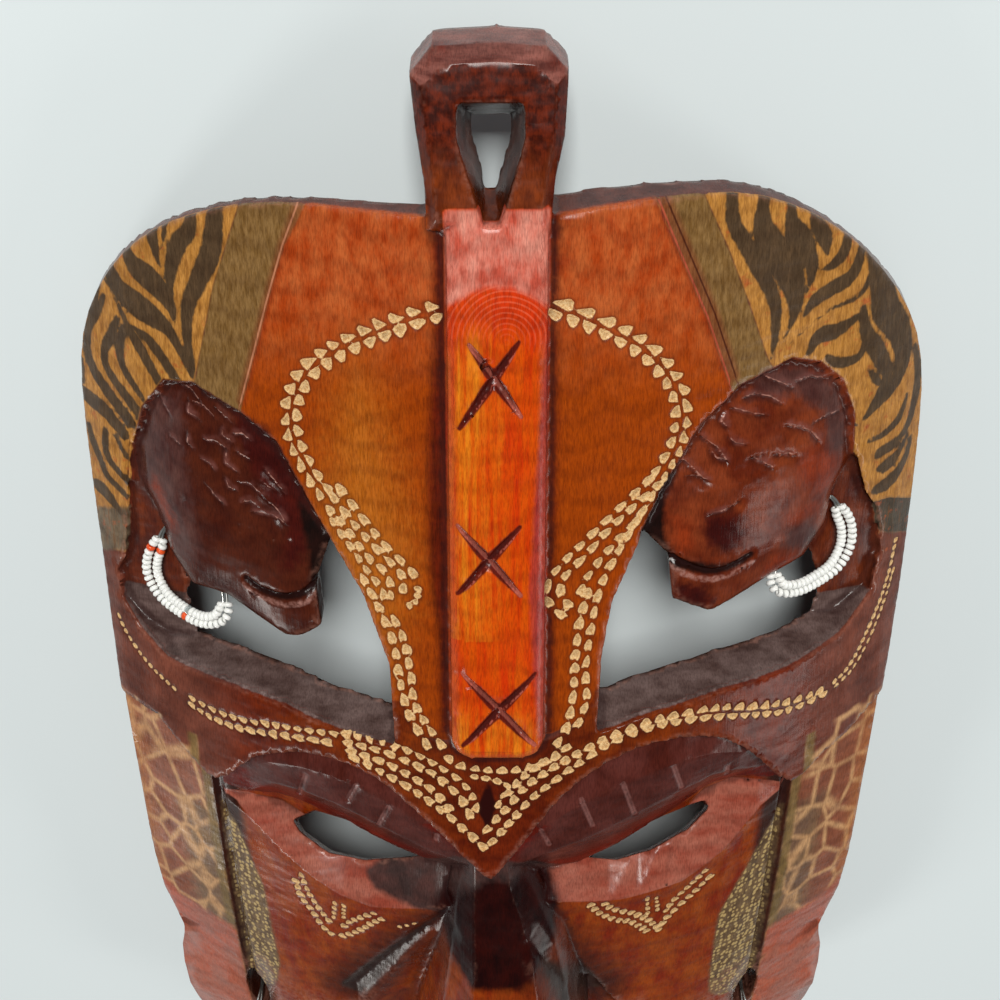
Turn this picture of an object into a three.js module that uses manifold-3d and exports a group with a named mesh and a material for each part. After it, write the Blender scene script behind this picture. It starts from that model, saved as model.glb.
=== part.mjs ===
// A carved and painted wooden mask with beaded earrings, lying on its back: +Z is the side that
// shows, +Y runs up to the hanging loop, X runs across. Millimetres, floor at z = 0.

import * as THREE from 'three';
import { mergeVertices } from 'three/addons/utils/BufferGeometryUtils.js';
import Module from 'manifold-3d';

const wasm = await Module();
wasm.setup();

// Driving dimensions of the carving
const CROWN_Y = 143;          // where the crown line meets the long curve of the front
const CROWN_Z = 33.6;         // height of the front there, on the middle line
const FRONT_RISE = 0.32;      // the front climbs this much for each mm below the crown
const FRONT_EASE = 0.000376;  // and flattens by this much for each mm squared
const CROSS_RADIUS = 113.5;   // the front is rounded across like half a log
const EDGE_CURL = 0.12;       // how much more the outer edges turn back
const HALF_WIDTH = 79;        // where that curl reaches its stated amount
const SHELL = 10;             // wood left between front and hollow
const SIDE_WALL = 9;          // wall at the sides, down to the floor
const EAR_X = 85.5;           // outer edge of the ear panels
const GROOVE_X = 64.5;        // groove between cheek and ear panel
const CHIN_Y = -167;
const TALL = 120;             // reach of a cut that goes right through

// Colours
const STAIN_ORANGE = 0xb5541c;
const BEAD_WHITE = 0xf4f4f0;

// Plain helpers

const mix = (a, b, t) => a + (b - a) * t;
const clamp01 = (t) => Math.min(1, Math.max(0, t));
const ease = (t) => clamp01(t) ** 2 * (3 - 2 * clamp01(t));

// A value that runs in straight steps through [position, value] pairs, positions rising.
function steps(pairs, at) {
  if (at <= pairs[0][0]) return pairs[0][1];
  for (let i = 1; i < pairs.length; i += 1) {
    const [p0, v0] = pairs[i - 1];
    const [p1, v1] = pairs[i];
    if (at <= p1) return mix(v0, v1, (at - p0) / (p1 - p0));
  }
  return pairs[pairs.length - 1][1];
}

// A smooth open line through plan points, with `per` steps between neighbours.
function smoothLine(points, per = 3) {
  const curve = new THREE.SplineCurve(points.map(([x, y]) => new THREE.Vector2(x, y)));
  return curve.getPoints((points.length - 1) * per).map((p) => [p.x, p.y]);
}

function solidOf(geometry) {
  const bare = geometry.clone();
  bare.deleteAttribute('normal');
  bare.deleteAttribute('uv');
  const merged = mergeVertices(bare, 1e-4);
  return new wasm.Manifold(new wasm.Mesh({
    numProp: 3,
    vertProperties: Float32Array.from(merged.attributes.position.array),
    triVerts: Uint32Array.from(merged.index.array),
  }));
}

function geometryOf(solid) {
  const mesh = solid.getMesh();
  const geometry = new THREE.BufferGeometry();
  const points = new Float32Array(mesh.numVert * 3);
  for (let i = 0; i < mesh.numVert; i += 1) {
    for (let k = 0; k < 3; k += 1) points[3 * i + k] = mesh.vertProperties[mesh.numProp * i + k];
  }
  geometry.setAttribute('position', new THREE.BufferAttribute(points, 3));
  geometry.setIndex(new THREE.BufferAttribute(Uint32Array.from(mesh.triVerts), 1));
  geometry.computeVertexNormals();
  return geometry;
}

function geometryFrom(vertices, triangles) {
  const geometry = new THREE.BufferGeometry();
  geometry.setAttribute('position', new THREE.Float32BufferAttribute(vertices.flat(), 3));
  geometry.setIndex(triangles.flat());
  return geometry;
}

function counterClockwise(outline) {
  const flat = outline.map(([x, y]) => new THREE.Vector2(x, y));
  return THREE.ShapeUtils.area(flat) < 0 ? [...outline].reverse() : outline;
}

// A straight-walled solid over a plan outline.
function prism(outline, low = -TALL, high = TALL) {
  const shape = new THREE.Shape(outline.map(([x, y]) => new THREE.Vector2(x, y)));
  const geometry = new THREE.ExtrudeGeometry(shape, { depth: high - low, bevelEnabled: false });
  geometry.translate(0, 0, low);
  return solidOf(geometry);
}

// Rings of points, one above the next, joined by walls and closed at both ends.
function ringStack(rings) {
  const count = rings[0].length;
  const triangles = [];
  for (let r = 0; r + 1 < rings.length; r += 1) {
    for (let i = 0; i < count; i += 1) {
      const a = r * count + i;
      const b = r * count + (i + 1) % count;
      triangles.push([a, b, b + count], [a, b + count, a + count]);
    }
  }
  const capOf = (ring) => THREE.ShapeUtils.triangulateShape(
    ring.map(([x, y]) => new THREE.Vector2(x, y)), []);
  const top = (rings.length - 1) * count;
  capOf(rings[0]).forEach(([a, b, c]) => triangles.push([c, b, a]));
  capOf(rings[rings.length - 1]).forEach(([a, b, c]) => triangles.push([a + top, b + top, c + top]));
  return solidOf(geometryFrom(rings.flat(), triangles));
}

// A piece over a plan outline whose front swells inwards from its edge. Each level gives how far
// the outline has shrunk to its middle, and how high the front stands there.
function swelling(outline, back, levels) {
  const ring = counterClockwise(outline);
  const cx = ring.reduce((sum, p) => sum + p[0], 0) / ring.length;
  const cy = ring.reduce((sum, p) => sum + p[1], 0) / ring.length;
  const rings = [ring.map(([x, y]) => [x, y, back(x, y)])];
  levels.forEach(({ shrink, front }) => {
    rings.push(ring.map(([x, y]) => {
      const px = mix(x, cx, shrink);
      const py = mix(y, cy, shrink);
      return [px, py, front(px, py)];
    }));
  });
  return ringStack(rings);
}

// A closed block over columns of x and rows of y, between a front and a back surface. A row may
// be a function of x, so that a crease of the carving runs along it.
function block(columns, rows, front, back) {
  const nx = columns.length;
  const ny = rows.length;
  const vertices = [];
  const layers = [(x, y, row) => back(x, y, row), (x, y, row) => front(x, y, row)];
  layers.forEach((height) => {
    rows.forEach((row, j) => columns.forEach((x) => {
      const y = typeof row === 'function' ? row(x) : row;
      vertices.push([x, y, height(x, y, j)]);
    }));
  });
  const at = (layer, i, j) => layer * nx * ny + j * nx + i;
  const triangles = [];
  const quad = (a, b, c, d) => triangles.push([a, b, c], [a, c, d]);
  for (let j = 0; j + 1 < ny; j += 1) {
    for (let i = 0; i + 1 < nx; i += 1) {
      quad(at(1, i, j), at(1, i + 1, j), at(1, i + 1, j + 1), at(1, i, j + 1));
      quad(at(0, i, j + 1), at(0, i + 1, j + 1), at(0, i + 1, j), at(0, i, j));
    }
    quad(at(0, 0, j), at(1, 0, j), at(1, 0, j + 1), at(0, 0, j + 1));
    quad(at(0, nx - 1, j + 1), at(1, nx - 1, j + 1), at(1, nx - 1, j), at(0, nx - 1, j));
  }
  for (let i = 0; i + 1 < nx; i += 1) {
    quad(at(0, i + 1, 0), at(1, i + 1, 0), at(1, i, 0), at(0, i, 0));
    quad(at(0, i, ny - 1), at(1, i, ny - 1), at(1, i + 1, ny - 1), at(0, i + 1, ny - 1));
  }
  return solidOf(geometryFrom(vertices, triangles));
}

const evenly = (from, to, count) => Array.from(
  { length: count + 1 }, (_, i) => mix(from, to, i / count));

const joined = (solids) => solids.reduce((whole, next) => whole.add(next));

// The long curve of the front

const crossDrop = (x) => (x * x / (2 * CROSS_RADIUS)) * (1 + EDGE_CURL * (x / HALF_WIDTH) ** 2);

function boardFront(x, y) {
  const below = CROWN_Y - y;
  return CROWN_Z + FRONT_RISE * below - FRONT_EASE * below * below - crossDrop(x);
}

// The crown is thinned from behind, more to the left of the loop and most at the shoulders
const CROWN_WOOD = [[-60, 3.2], [-36, 3.6], [-12, 5.4], [10, 9.3], [45, 6], [64, 3.2]];
function boardBack(x, y) {
  const wood = mix(SHELL, steps(CROWN_WOOD, x), ease((y - 96) / 26));
  return boardFront(x, y) - wood;
}

// Height of the face below the brow, on the middle line, before nose and mouth are added
const FACE_MIDDLE = [
  [CHIN_Y - 2, 16], [-155, 26], [-140, 35], [-118, 45], [-90, 53], [-60, 57], [-30, 60], [0, 61], [40, 61],
];
const faceFront = (x, y) => steps(FACE_MIDDLE, y) - crossDrop(x);
const faceBack = (x, y) => faceFront(x, y) - SHELL;

// Outlines in plan

const LEFT_SIDE = [
  [-14, 138], [-34, 138.2], [-48, 136], [-58.5, 131.8], [-67, 126.8], [-75, 119.5], [-81.5, 110.5],
  [-86.2, 100], [-88, 88], [-87.6, 70], [-86.6, 50], [-85.5, 20],
];
const RIGHT_SIDE = [
  [10, 138.5], [26, 140], [42, 139], [53, 135.2], [62.5, 129.2], [71, 121.6], [79.2, 111.5],
  [85.2, 100.5], [88, 88], [88.2, 70], [87.4, 46], [85.5, 20],
];
// The lower edge of the brow, from ear to ear, with a point over each cheek and one over the nose
const BROW_LEFT = [
  [-85.5, 20], [-75.4, 20.2], [-69, 15.6], [-63.2, 12],
];
const BROW_LEFT_ARCH = [
  [-63.2, 12], [-59, 15], [-53, 22], [-44, 26.8], [-35, 28], [-26, 25.5], [-18.5, 19.5], [-10, 11], [-2.6, 2.7],
];
const BROW_RIGHT_ARCH = [
  [-2.6, 2.7], [4, 11.5], [10, 20.3], [17.5, 27.5], [27, 32], [37, 32.3], [46, 29.5], [54, 22], [60, 14], [64, 11],
];
const BROW_RIGHT = [
  [64, 11], [70.6, 14.2], [76.3, 15.6], [85.5, 20],
];

const boardOutline = [
  ...smoothLine(LEFT_SIDE, 2).reverse(),
  ...smoothLine(RIGHT_SIDE, 2),
  ...[...BROW_RIGHT].reverse().slice(1),
  ...smoothLine(BROW_RIGHT_ARCH, 2).reverse().slice(1),
  ...smoothLine(BROW_LEFT_ARCH, 2).reverse().slice(1),
  ...[...BROW_LEFT].reverse().slice(1, -1),
];

// Jaw and chin, one side, from the groove down to the middle
const JAW = [
  [GROOVE_X, -60], [GROOVE_X, -86], [60.5, -106], [50, -129], [36, -148], [19, -161.5], [0, CHIN_Y],
];
const jawSide = smoothLine(JAW, 2);
const faceOutline = [
  [-GROOVE_X, 36],
  ...jawSide.map(([x, y]) => [-x, y]),
  ...jawSide.slice(0, -1).reverse(),
  [GROOVE_X, 36],
];

// Ear panel of one side: the outer edge steps in where the ear ends and the lobe begins
function earOutline(side) {
  const outer = smoothLine([
    [EAR_X, 24], [EAR_X, -20], [EAR_X - 0.5, -50], [EAR_X - 3.5, -66], [EAR_X - 1.5, -76],
    [EAR_X - 1, -94], [EAR_X - 5, -110], [EAR_X - 13, -118], [GROOVE_X + 3, -115], [GROOVE_X - 3, -100],
    [GROOVE_X - 4, -86],
  ], 2);
  return counterClockwise([...outer, [GROOVE_X - 4, 10], [GROOVE_X, 24]].map(([x, y]) => [side * x, y]));
}

// Front of an ear panel: it falls from the cheek to its outer edge
const EAR_INNER = [[-120, 27], [-90, 34], [-60, 38], [-30, 41], [24, 41.5]];
const EAR_OUTER = [[-120, 16], [-94, 22.5], [-66, 24], [-50, 27], [-30, 29], [24, 28]];
function earFront(x, y) {
  const across = (Math.abs(x) - GROOVE_X) / (EAR_X - GROOVE_X);
  return mix(steps(EAR_INNER, y), steps(EAR_OUTER, y), across);
}

// Creases of the eye region as functions of x. The left eye sits lower than the right one.
const LID_TOP_PAIRS = [
  [-66, 3], [-60, 14], [-53, 23], [-44, 28], [-35, 29], [-26, 26.5], [-18.5, 20.5], [-10, 12], [-2.6, 5],
  [4, 12.5], [10, 21.3], [17.5, 28.5], [27, 33], [37, 33.3], [46, 30.5], [54, 23], [61, 14], [66, 4],
];
const SLIT_TOP_PAIRS = [
  [-66, 1], [-57, 3.5], [-46, 4.5], [-35, 1.5], [-26, -3], [-15, -7.5], [-2.6, -9],
  [15, -9], [26, -3.5], [36, 3], [47, 9.5], [57, 8], [66, 1.5],
];
const SLIT_LOW_PAIRS = [
  [-66, 0], [-57, 1.5], [-47, -3.5], [-39, -10], [-31, -12], [-19, -11], [-2.6, -10.5],
  [17, -11], [26, -12], [34, -8.5], [42, -2], [47, 5.5], [57, 5.5], [66, 0.5],
];
const RIDGE_PAIRS = [
  [-66, -2], [-60, -0.5], [-53, -8], [-45, -15.5], [-38, -20], [-30, -22], [-18, -19.5], [-2.6, -15],
  [12, -16], [27, -18.5], [41, -17.5], [50, -11.5], [58, -1], [66, -1.5],
];
const lidTop = (x) => steps(LID_TOP_PAIRS, x);
const slitTop = (x) => steps(SLIT_TOP_PAIRS, x);
const slitLow = (x) => steps(SLIT_LOW_PAIRS, x);
const ridge = (x) => steps(RIDGE_PAIRS, x);

// The head that each opening holds, and the opening round it
const LEFT_HEAD = [
  [-67, 98.5], [-60.5, 100.2], [-51, 97.5], [-43.5, 93.4], [-38.7, 85], [-33.3, 76], [-36.5, 66.8],
  [-37.2, 63], [-36.4, 55.5], [-41.4, 52], [-44.2, 51.6], [-50, 54], [-56, 56.3], [-64.7, 55.5],
  [-69, 60.5], [-71.5, 68], [-75.2, 74], [-75.4, 82], [-72.5, 91],
];
const RIGHT_HEAD = [
  [62, 103.8], [56, 106.3], [46, 104], [37.7, 98], [31.6, 88], [26.8, 78.4], [32.8, 71.4],
  [33.2, 68], [34, 62], [42, 57.3], [47, 58.8], [54, 61], [62, 62.5], [66.5, 68], [67.9, 74.6],
  [71.4, 80], [71, 90], [67.5, 98.5],
];
const LEFT_OPENING = [
  [-66, 92], [-73.5, 88], [-76.5, 82], [-79.2, 64.4], [-83, 49], [-82.5, 42.5], [-77.5, 38.6], [-72, 36.9],
  [-56, 40.6], [-44.7, 41.7], [-38, 40.7], [-21.8, 39.7], [-22.7, 52.4], [-27.3, 65.9], [-33, 75.6],
  [-38.3, 84.5], [-48, 90],
];
const RIGHT_OPENING = [
  [60, 96], [69, 91], [72.7, 80.5], [75.5, 72], [79.1, 66.5], [82, 51.1], [79.2, 45.9], [72.1, 42.1],
  [60, 42.3], [44.8, 44.8], [29.4, 44.8], [18.7, 43], [19.8, 54], [21.5, 65], [26.9, 77.8], [33, 88], [45, 96],
];

// Carving

function carveBoard() {
  const whole = block(evenly(-92, 92, 22), evenly(-8, 144, 18), boardFront, () => 0);
  return whole.intersect(prism(boardOutline));
}

function carveFace() {
  const columns = [
    -66, -62.5, -56, -50, -43, -36, -29, -22, -15, -9, -2.6, 4, 10, 17, 24, 31, 38, 45, 51, 57, 62.5, 66,
  ];
  const rows = [
    CHIN_Y - 2, -155, -140, -124, -108, -92, -74, -56, -40,
    (x) => ridge(x) - 5,
    ridge,
    slitLow,
    slitTop,
    (x) => mix(slitTop(x), lidTop(x), 0.35),
    (x) => mix(slitTop(x), lidTop(x), 0.72),
    lidTop,
    (x) => lidTop(x) + 6,
  ];
  const [ridgeRow, lowRow, topRow, bulgeRow, upperRow, edgeRow] = [10, 11, 12, 13, 14, 15];
  const front = (x, y, row) => {
    const base = faceFront(x, y) - (Math.abs(x) > 63 ? 6 : 0);
    const corner = ease((62 - Math.abs(x)) / 16);
    if (row === ridgeRow) return base + 0.5;
    if (row === lowRow) return base - 7.5 * corner;
    if (row === topRow) return base - 3.5 * corner;
    if (row === bulgeRow) return base + 1.2 * corner;
    if (row === upperRow) return base + 3 * corner;
    if (row >= edgeRow) return mix(base, boardFront(x, y) - 4.5, 0.8);
    const sunk = 2.2 * Math.exp(-(((Math.abs(x) - 30) / 16) ** 2) - ((y + 62) / 26) ** 2);
    return base - sunk;
  };
  const whole = block(columns, rows, front, () => 0);
  return whole.intersect(prism(faceOutline));
}

function carveEar(side) {
  const xs = [GROOVE_X - 6, GROOVE_X + 1, GROOVE_X + 11, EAR_X + 2].map((x) => side * x);
  const columns = side > 0 ? xs : xs.reverse();
  const front = (x, y) => (Math.abs(x) < GROOVE_X - 1 ? earFront(side * GROOVE_X, y) - 4 : earFront(x, y));
  return block(columns, evenly(-122, 26, 12), front, () => 0).intersect(prism(earOutline(side)));
}

// Hollow: the inside follows the front, open behind, with side walls from shoulder to lobe
function carveHollow() {
  const inner = EAR_X - SIDE_WALL;
  const plan = [
    [-110, 160], [-110, 76], [-79, 76], [-78.5, 20], [-inner, -30], [-inner, -64], [-110, -64], [-110, -130],
    [-52, -130], [-47, -118], [-39, -130], [-26, -144], [-12, -154], [0, -157],
    [12, -154], [26, -144], [39, -130], [47, -118], [52, -130],
    [110, -130], [110, -64], [inner, -64], [inner, -30], [78.5, 20], [79, 76], [110, 76], [110, 160],
  ];
  const upper = block(evenly(-112, 112, 20), evenly(24, 162, 12), boardBack, () => -TALL);
  const middle = block(evenly(-112, 112, 20), evenly(-170, 26, 12), (x, y) => {
    const behindEar = earFront(x, y) - SHELL;
    return Math.abs(x) > GROOVE_X - 3 ? Math.min(behindEar, faceBack(x, y) + 4) : faceBack(x, y) - 1;
  }, () => -TALL);
  return upper.add(middle).intersect(prism(plan));
}

// An opening is cut through behind its head. Towards the rim of the board it is only a recess,
// whose floor rises from the back of the head to the rim.
const RIM_INSIDE = [[38, 81], [49, 83], [64, 79.5], [74, 76], [82, 74], [92, 71]];
const RECESS_WIDE = 21;
const LEDGE_LEAN = 0.25;
function carveOpening(outline, side) {
  const lean = (z) => outline.map(([x, y]) => [x, y + (y < 50 ? (36 - z) * LEDGE_LEAN : 0), z]);
  const cut = ringStack([counterClockwise(lean(-5)), counterClockwise(lean(95))]);
  const xs = evenly(RIM_INSIDE[1][1] - RECESS_WIDE - 2, 94, 8).map((x) => side * x);
  const columns = side > 0 ? xs : [...xs].reverse();
  const recess = (x, y) => {
    const inward = (steps(RIM_INSIDE, y) - Math.abs(x)) / RECESS_WIDE;
    return boardFront(x, y) - mix(2, SHELL + 2, inward);
  };
  return cut.subtract(block(columns, evenly(30, 100, 8), recess, () => -10));
}

// A head in relief: domed side of the head, with its mouth notch and the line of its hair
const HEAD_SUNK = 2.8;
function carveHead(outline, mouth, hair) {
  const head = swelling(outline, (x, y) => boardFront(x, y) - SHELL, [
    { shrink: 0, front: (x, y) => boardFront(x, y) - HEAD_SUNK },
    { shrink: 0.12, front: (x, y) => boardFront(x, y) - 0.9 },
    { shrink: 0.42, front: (x, y) => boardFront(x, y) + 1 },
    { shrink: 0.75, front: (x, y) => boardFront(x, y) + 1.6 },
  ]);
  return head.subtract(gouge(mouth.from, mouth.to, 2.6, 2)).subtract(gouge(hair.from, hair.to, 1.6, 1));
}

// The bed that each head is sunk into, so that a small step runs round its crown
function carveBed(outline) {
  return swelling(outline, (x, y) => boardFront(x, y) - HEAD_SUNK, [{ shrink: -0.03, front: () => TALL }]);
}

// A V-shaped cut along the front from one plan point to another, wide and deep in its middle
function gouge([x0, y0], [x1, y1], wide, deep, level = boardFront) {
  const length = Math.hypot(x1 - x0, y1 - y0);
  const nx = -(y1 - y0) / length;
  const ny = (x1 - x0) / length;
  const high = 8;
  const at = (t, across, lift) => {
    const x = mix(x0, x1, t) + nx * across;
    const y = mix(y0, y1, t) + ny * across;
    return [x, y, level(mix(x0, x1, t), mix(y0, y1, t)) + 1.5 + lift];
  };
  const section = (t, swell) => [
    at(t, -wide * (1 + high / deep) / 2 * swell, high * swell),
    at(t, 0, -deep * swell),
    at(t, wide * (1 + high / deep) / 2 * swell, high * swell),
  ];
  const sections = [section(0, 0.15), section(0.3, 0.8), section(0.55, 1), section(0.8, 0.7), section(1, 0.15)];
  const triangles = [[0, 2, 1]];
  for (let s = 0; s + 1 < sections.length; s += 1) {
    for (let i = 0; i < 3; i += 1) {
      const a = 3 * s + i;
      const b = 3 * s + (i + 1) % 3;
      triangles.push([a, b, b + 3], [a, b + 3, a + 3]);
    }
  }
  const last = 3 * (sections.length - 1);
  triangles.push([last, last + 1, last + 2]);
  return solidOf(geometryFrom(sections.flat(), triangles));
}

// The flat strap down the middle of the board, with its three crossed cuts
const STRAP = { left: -10, right: 8.2, top: 138.5, low: 34, proud: 2.6 };
function carveStrap() {
  const { left, right, top, low, proud } = STRAP;
  const columns = [left, left + 1.2, left + 3.4, (left + right) / 2, right - 3.4, right - 1.2, right];
  const rise = [0.6, 1, 1.2, 1.25, 1.2, 1, 0.6];
  const front = (x, y) => boardFront(0, y) + proud * rise[columns.indexOf(x)] - 0.4;
  const rows = [low, low + 0.8, low + 2.5, ...evenly(44, 134, 5), top];
  const strap = block(columns, rows, (x, y) => front(x, y) - (y < low + 1 ? 0.9 : 0), (x, y) => boardFront(x, y) - 4);
  const rounded = [
    [left, top + 2], [left, low + 3.5], [left + 1.2, low + 1], [left + 4, low], [right - 4, low],
    [right - 1.2, low + 1], [right, low + 3.5], [right, top + 2],
  ];
  return strap.intersect(prism(rounded));
}

const STRAP_CROSSES = [
  { strokes: [[[-6, 117.5], [3.5, 104.5]], [[3, 118], [-8, 102]]] },
  { strokes: [[[-8.4, 83.5], [3.6, 69.8]], [[3.4, 83.6], [-8.6, 69.8]]] },
  { strokes: [[[-7.8, 53.4], [6.6, 37.4]], [[6.5, 53.2], [-7.9, 37.4]]] },
];
const crossCuts = () => STRAP_CROSSES.flatMap(({ strokes }) => strokes.map(([from, to]) => {
  const cut = gouge(from, to, 1.7, 1.3);
  return cut.translate([0, 0, 1.1]);
}));

// The hanging loop above the crown, bevelled, with a hole that narrows towards the back
const LOOP = [
  [-13.5, 136.2], [-13.8, 144], [-15.2, 153], [-16.2, 162], [-12.2, 166.4], [-1, 167], [7.5, 166.4],
  [11.6, 162.5], [11, 152], [9.4, 145], [8.6, 136.2],
];
const LOOP_PROUD = 3;
const LOOP_THICK = 12;
function carveLoop() {
  const level = (y) => boardFront(0, y) + LOOP_PROUD;
  return swelling(LOOP, (x, y) => level(y) - LOOP_THICK, [
    { shrink: 0, front: (x, y) => level(y) - 2.6 },
    { shrink: 0.16, front: (x, y) => level(y) },
  ]);
}

const HOLE_FRONT = [[-8.8, 160.2], [4.8, 160.2], [4.2, 152], [-0.6, 138.3], [-3.4, 138.3], [-8.2, 152]];
const HOLE_BACK = [[-5.8, 152.6], [2, 152.6], [1.5, 149], [-1.5, 140.5], [-3.1, 140.5], [-5.4, 149]];
function cutLoopHole() {
  const front = boardFront(0, 150) + LOOP_PROUD;
  const ringAt = (t) => counterClockwise(HOLE_FRONT.map(([x, y], i) => [
    mix(x, HOLE_BACK[i][0], t), mix(y, HOLE_BACK[i][1], t), front - LOOP_THICK * t,
  ]));
  return ringStack([ringAt(1.5), ringAt(-0.4)]);
}

// Eye slits, cut on a slant so that they look down and out
const SLIT_LEFT = [
  [-47.5, 1], [-42, 4.2], [-34.7, 1.4], [-26, -3.2], [-17, -7.2], [-14.5, -8.6],
  [-19, -10.8], [-31, -12.2], [-39.5, -9.8], [-46, -3],
];
const SLIT_RIGHT = [
  [47.8, 8.6], [36, 2.6], [26, -4], [17, -9.4], [19, -11], [26, -12], [34, -8.6], [42, -2], [46.5, 4.6],
];
function cutSlit(outline) {
  const ring = counterClockwise(outline);
  const slant = 1.05;
  const openFrom = 52;
  const shifted = (z) => ring.map(([x, y]) => [x, y - (openFrom - z) * slant, z]);
  return ringStack([shifted(22), shifted(openFrom + 1)]).add(prism(outline, openFrom, TALL));
}

// A lobe hole, long and narrow, between the lobe and the cheek
const LOBE_HOLE = { x: 63.2, top: -72, low: -89, wide: 6.6 };
function cutLobeHole(side) {
  const { x, top, low, wide } = LOBE_HOLE;
  const outline = [];
  for (let i = 0; i < 12; i += 1) {
    const angle = (i / 12) * 2 * Math.PI;
    outline.push([
      side * x + (wide / 2) * Math.cos(angle),
      (top + low) / 2 + ((top - low) / 2) * Math.sin(angle),
    ]);
  }
  return prism(outline);
}

// The nose: a broad wedge that starts under the point of the brow
function carveNose() {
  const sections = [
    { y: 6, middle: -2.6, half: 7, ridge: 62, side: 50 },
    { y: -8, middle: -2, half: 8.5, ridge: 64, side: 53 },
    { y: -14, middle: -1, half: 11, ridge: 66.5, side: 54 },
    { y: -24, middle: 0.5, half: 14, ridge: 71.5, side: 54 },
    { y: -42, middle: 1, half: 17.5, ridge: 78.5, side: 52 },
    { y: -60, middle: 0.5, half: 20.5, ridge: 85, side: 50 },
    { y: -67, middle: 0, half: 21, ridge: 84, side: 50 },
    { y: -72, middle: 0, half: 17, ridge: 76, side: 48 },
    { y: -75, middle: 0, half: 12, ridge: 64, side: 46 },
  ];
  const rings = sections.map(({ y, middle, half, ridge: top, side }) => {
    const flat = half * 0.45;
    return [
      [middle - half, y, side - 12], [middle + half, y, side - 12], [middle + half, y, side + 4],
      [middle + half * 0.82, y, mix(side, top, 0.62)], [middle + flat, y, top], [middle - flat, y, top],
      [middle - half * 0.82, y, mix(side, top, 0.62)], [middle - half, y, side + 4],
    ];
  });
  const count = rings[0].length;
  const triangles = [];
  for (let r = 0; r + 1 < rings.length; r += 1) {
    for (let i = 0; i < count; i += 1) {
      const a = r * count + i;
      const b = r * count + (i + 1) % count;
      triangles.push([a, b, b + count], [a, b + count, a + count]);
    }
  }
  for (let i = 1; i + 1 < count; i += 1) {
    triangles.push([0, i + 1, i]);
    const end = (rings.length - 1) * count;
    triangles.push([end, end + i, end + i + 1]);
  }
  return solidOf(geometryFrom(rings.flat(), triangles));
}

// The wood falls away from the fold of each cheek towards the nose
const NASAL_FOLD_LEFT = [[-5, -16], [-18, -26], [-27, -43], [-38, -66], [-42, -82], [-26, -86], [-14, -50], [-6, -24]];
const NASAL_FOLD_RIGHT = [[2, -17], [10, -26], [18, -42], [27, -60], [37, -82], [24, -86], [15, -50], [6, -24]];
const FOLD_POINTS = 5;
const FOLD_DEEP = 6.5;
function carveBesideNose(outline) {
  const turned = outline.map(([x, y], i) => [x, y, faceFront(x, y) - (i < FOLD_POINTS ? -0.3 : FOLD_DEEP)]);
  const ring = THREE.ShapeUtils.area(outline.map(([x, y]) => new THREE.Vector2(x, y))) < 0
    ? [...turned].reverse() : turned;
  return ringStack([ring, ring.map(([x, y]) => [x, y, TALL])]);
}

// A lip: a long lens that swells forward
function carveLip(y, half, tall, proud) {
  const outline = [];
  for (let i = 0; i < 16; i += 1) {
    const angle = (i / 16) * 2 * Math.PI;
    const sag = 2.5 * Math.cos(angle) ** 2;
    outline.push([-1 + half * Math.cos(angle), y + tall * Math.sin(angle) - sag]);
  }
  return swelling(outline, (x, py) => faceFront(x, py) - 5, [
    { shrink: 0, front: faceFront },
    { shrink: 0.25, front: (x, py) => faceFront(x, py) + proud * 0.75 },
    { shrink: 0.65, front: (x, py) => faceFront(x, py) + proud },
  ]);
}

// Beads on wire

const BEAD = { wide: 4.6, thick: 2.3, long: 2.2, waist: 0.84 };
const WIRE = { wide: 1.3, thick: 0.7 };
const DRILL = 1.5;

// One loop of two rows of seed beads side by side, fused. Along its closed path the part between
// `bareFrom` and `bareTo` is wire alone. `thinOf` gives the direction in which the loop is thin.
function loopSections({ path, bareFrom, bareTo, thinOf }) {
  const curve = new THREE.CatmullRomCurve3(path.map((p) => new THREE.Vector3(...p)), true, 'centripetal');
  const stations = Math.round(curve.getLength() / BEAD.long) * 2;
  return Array.from({ length: stations }, (_, i) => {
    const t = i / stations;
    const point = curve.getPointAt(t);
    const tangent = curve.getTangentAt(t);
    const thin = thinOf(tangent).normalize();
    const wide = new THREE.Vector3().crossVectors(tangent, thin).normalize();
    const bare = t > bareFrom && t < bareTo;
    const toEnd = Math.min(Math.abs(t - bareFrom), Math.abs(t - bareTo), Math.abs(t + 1 - bareTo));
    const taper = 0.5 + 0.5 * ease(toEnd / 0.06);
    const swell = i % 2 === 0 ? 1 : BEAD.waist;
    return {
      point, wide, thin, bare,
      halfWide: (bare ? WIRE.wide : BEAD.wide * taper * swell) / 2,
      halfThick: (bare ? WIRE.thick : BEAD.thick * swell) / 2,
    };
  });
}

function beadedLoop(sections) {
  const corners = [[0.95, 0.8], [-0.95, 0.8], [-0.95, -0.8], [0.95, -0.8]];
  const sides = corners.length;
  const vertices = sections.flatMap(({ point, wide, thin, halfWide, halfThick }) => corners.map(
    ([across, up]) => point.clone()
      .addScaledVector(wide, across * halfWide).addScaledVector(thin, up * halfThick).toArray()));
  const triangles = [];
  sections.forEach((_, i) => {
    for (let k = 0; k < sides; k += 1) {
      const a = i * sides + k;
      const b = i * sides + (k + 1) % sides;
      const next = ((i + 1) % sections.length) * sides;
      triangles.push([a, next + (k + 1) % sides, b], [a, next + k, next + (k + 1) % sides]);
    }
  });
  return geometryFrom(vertices, triangles);
}

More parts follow.
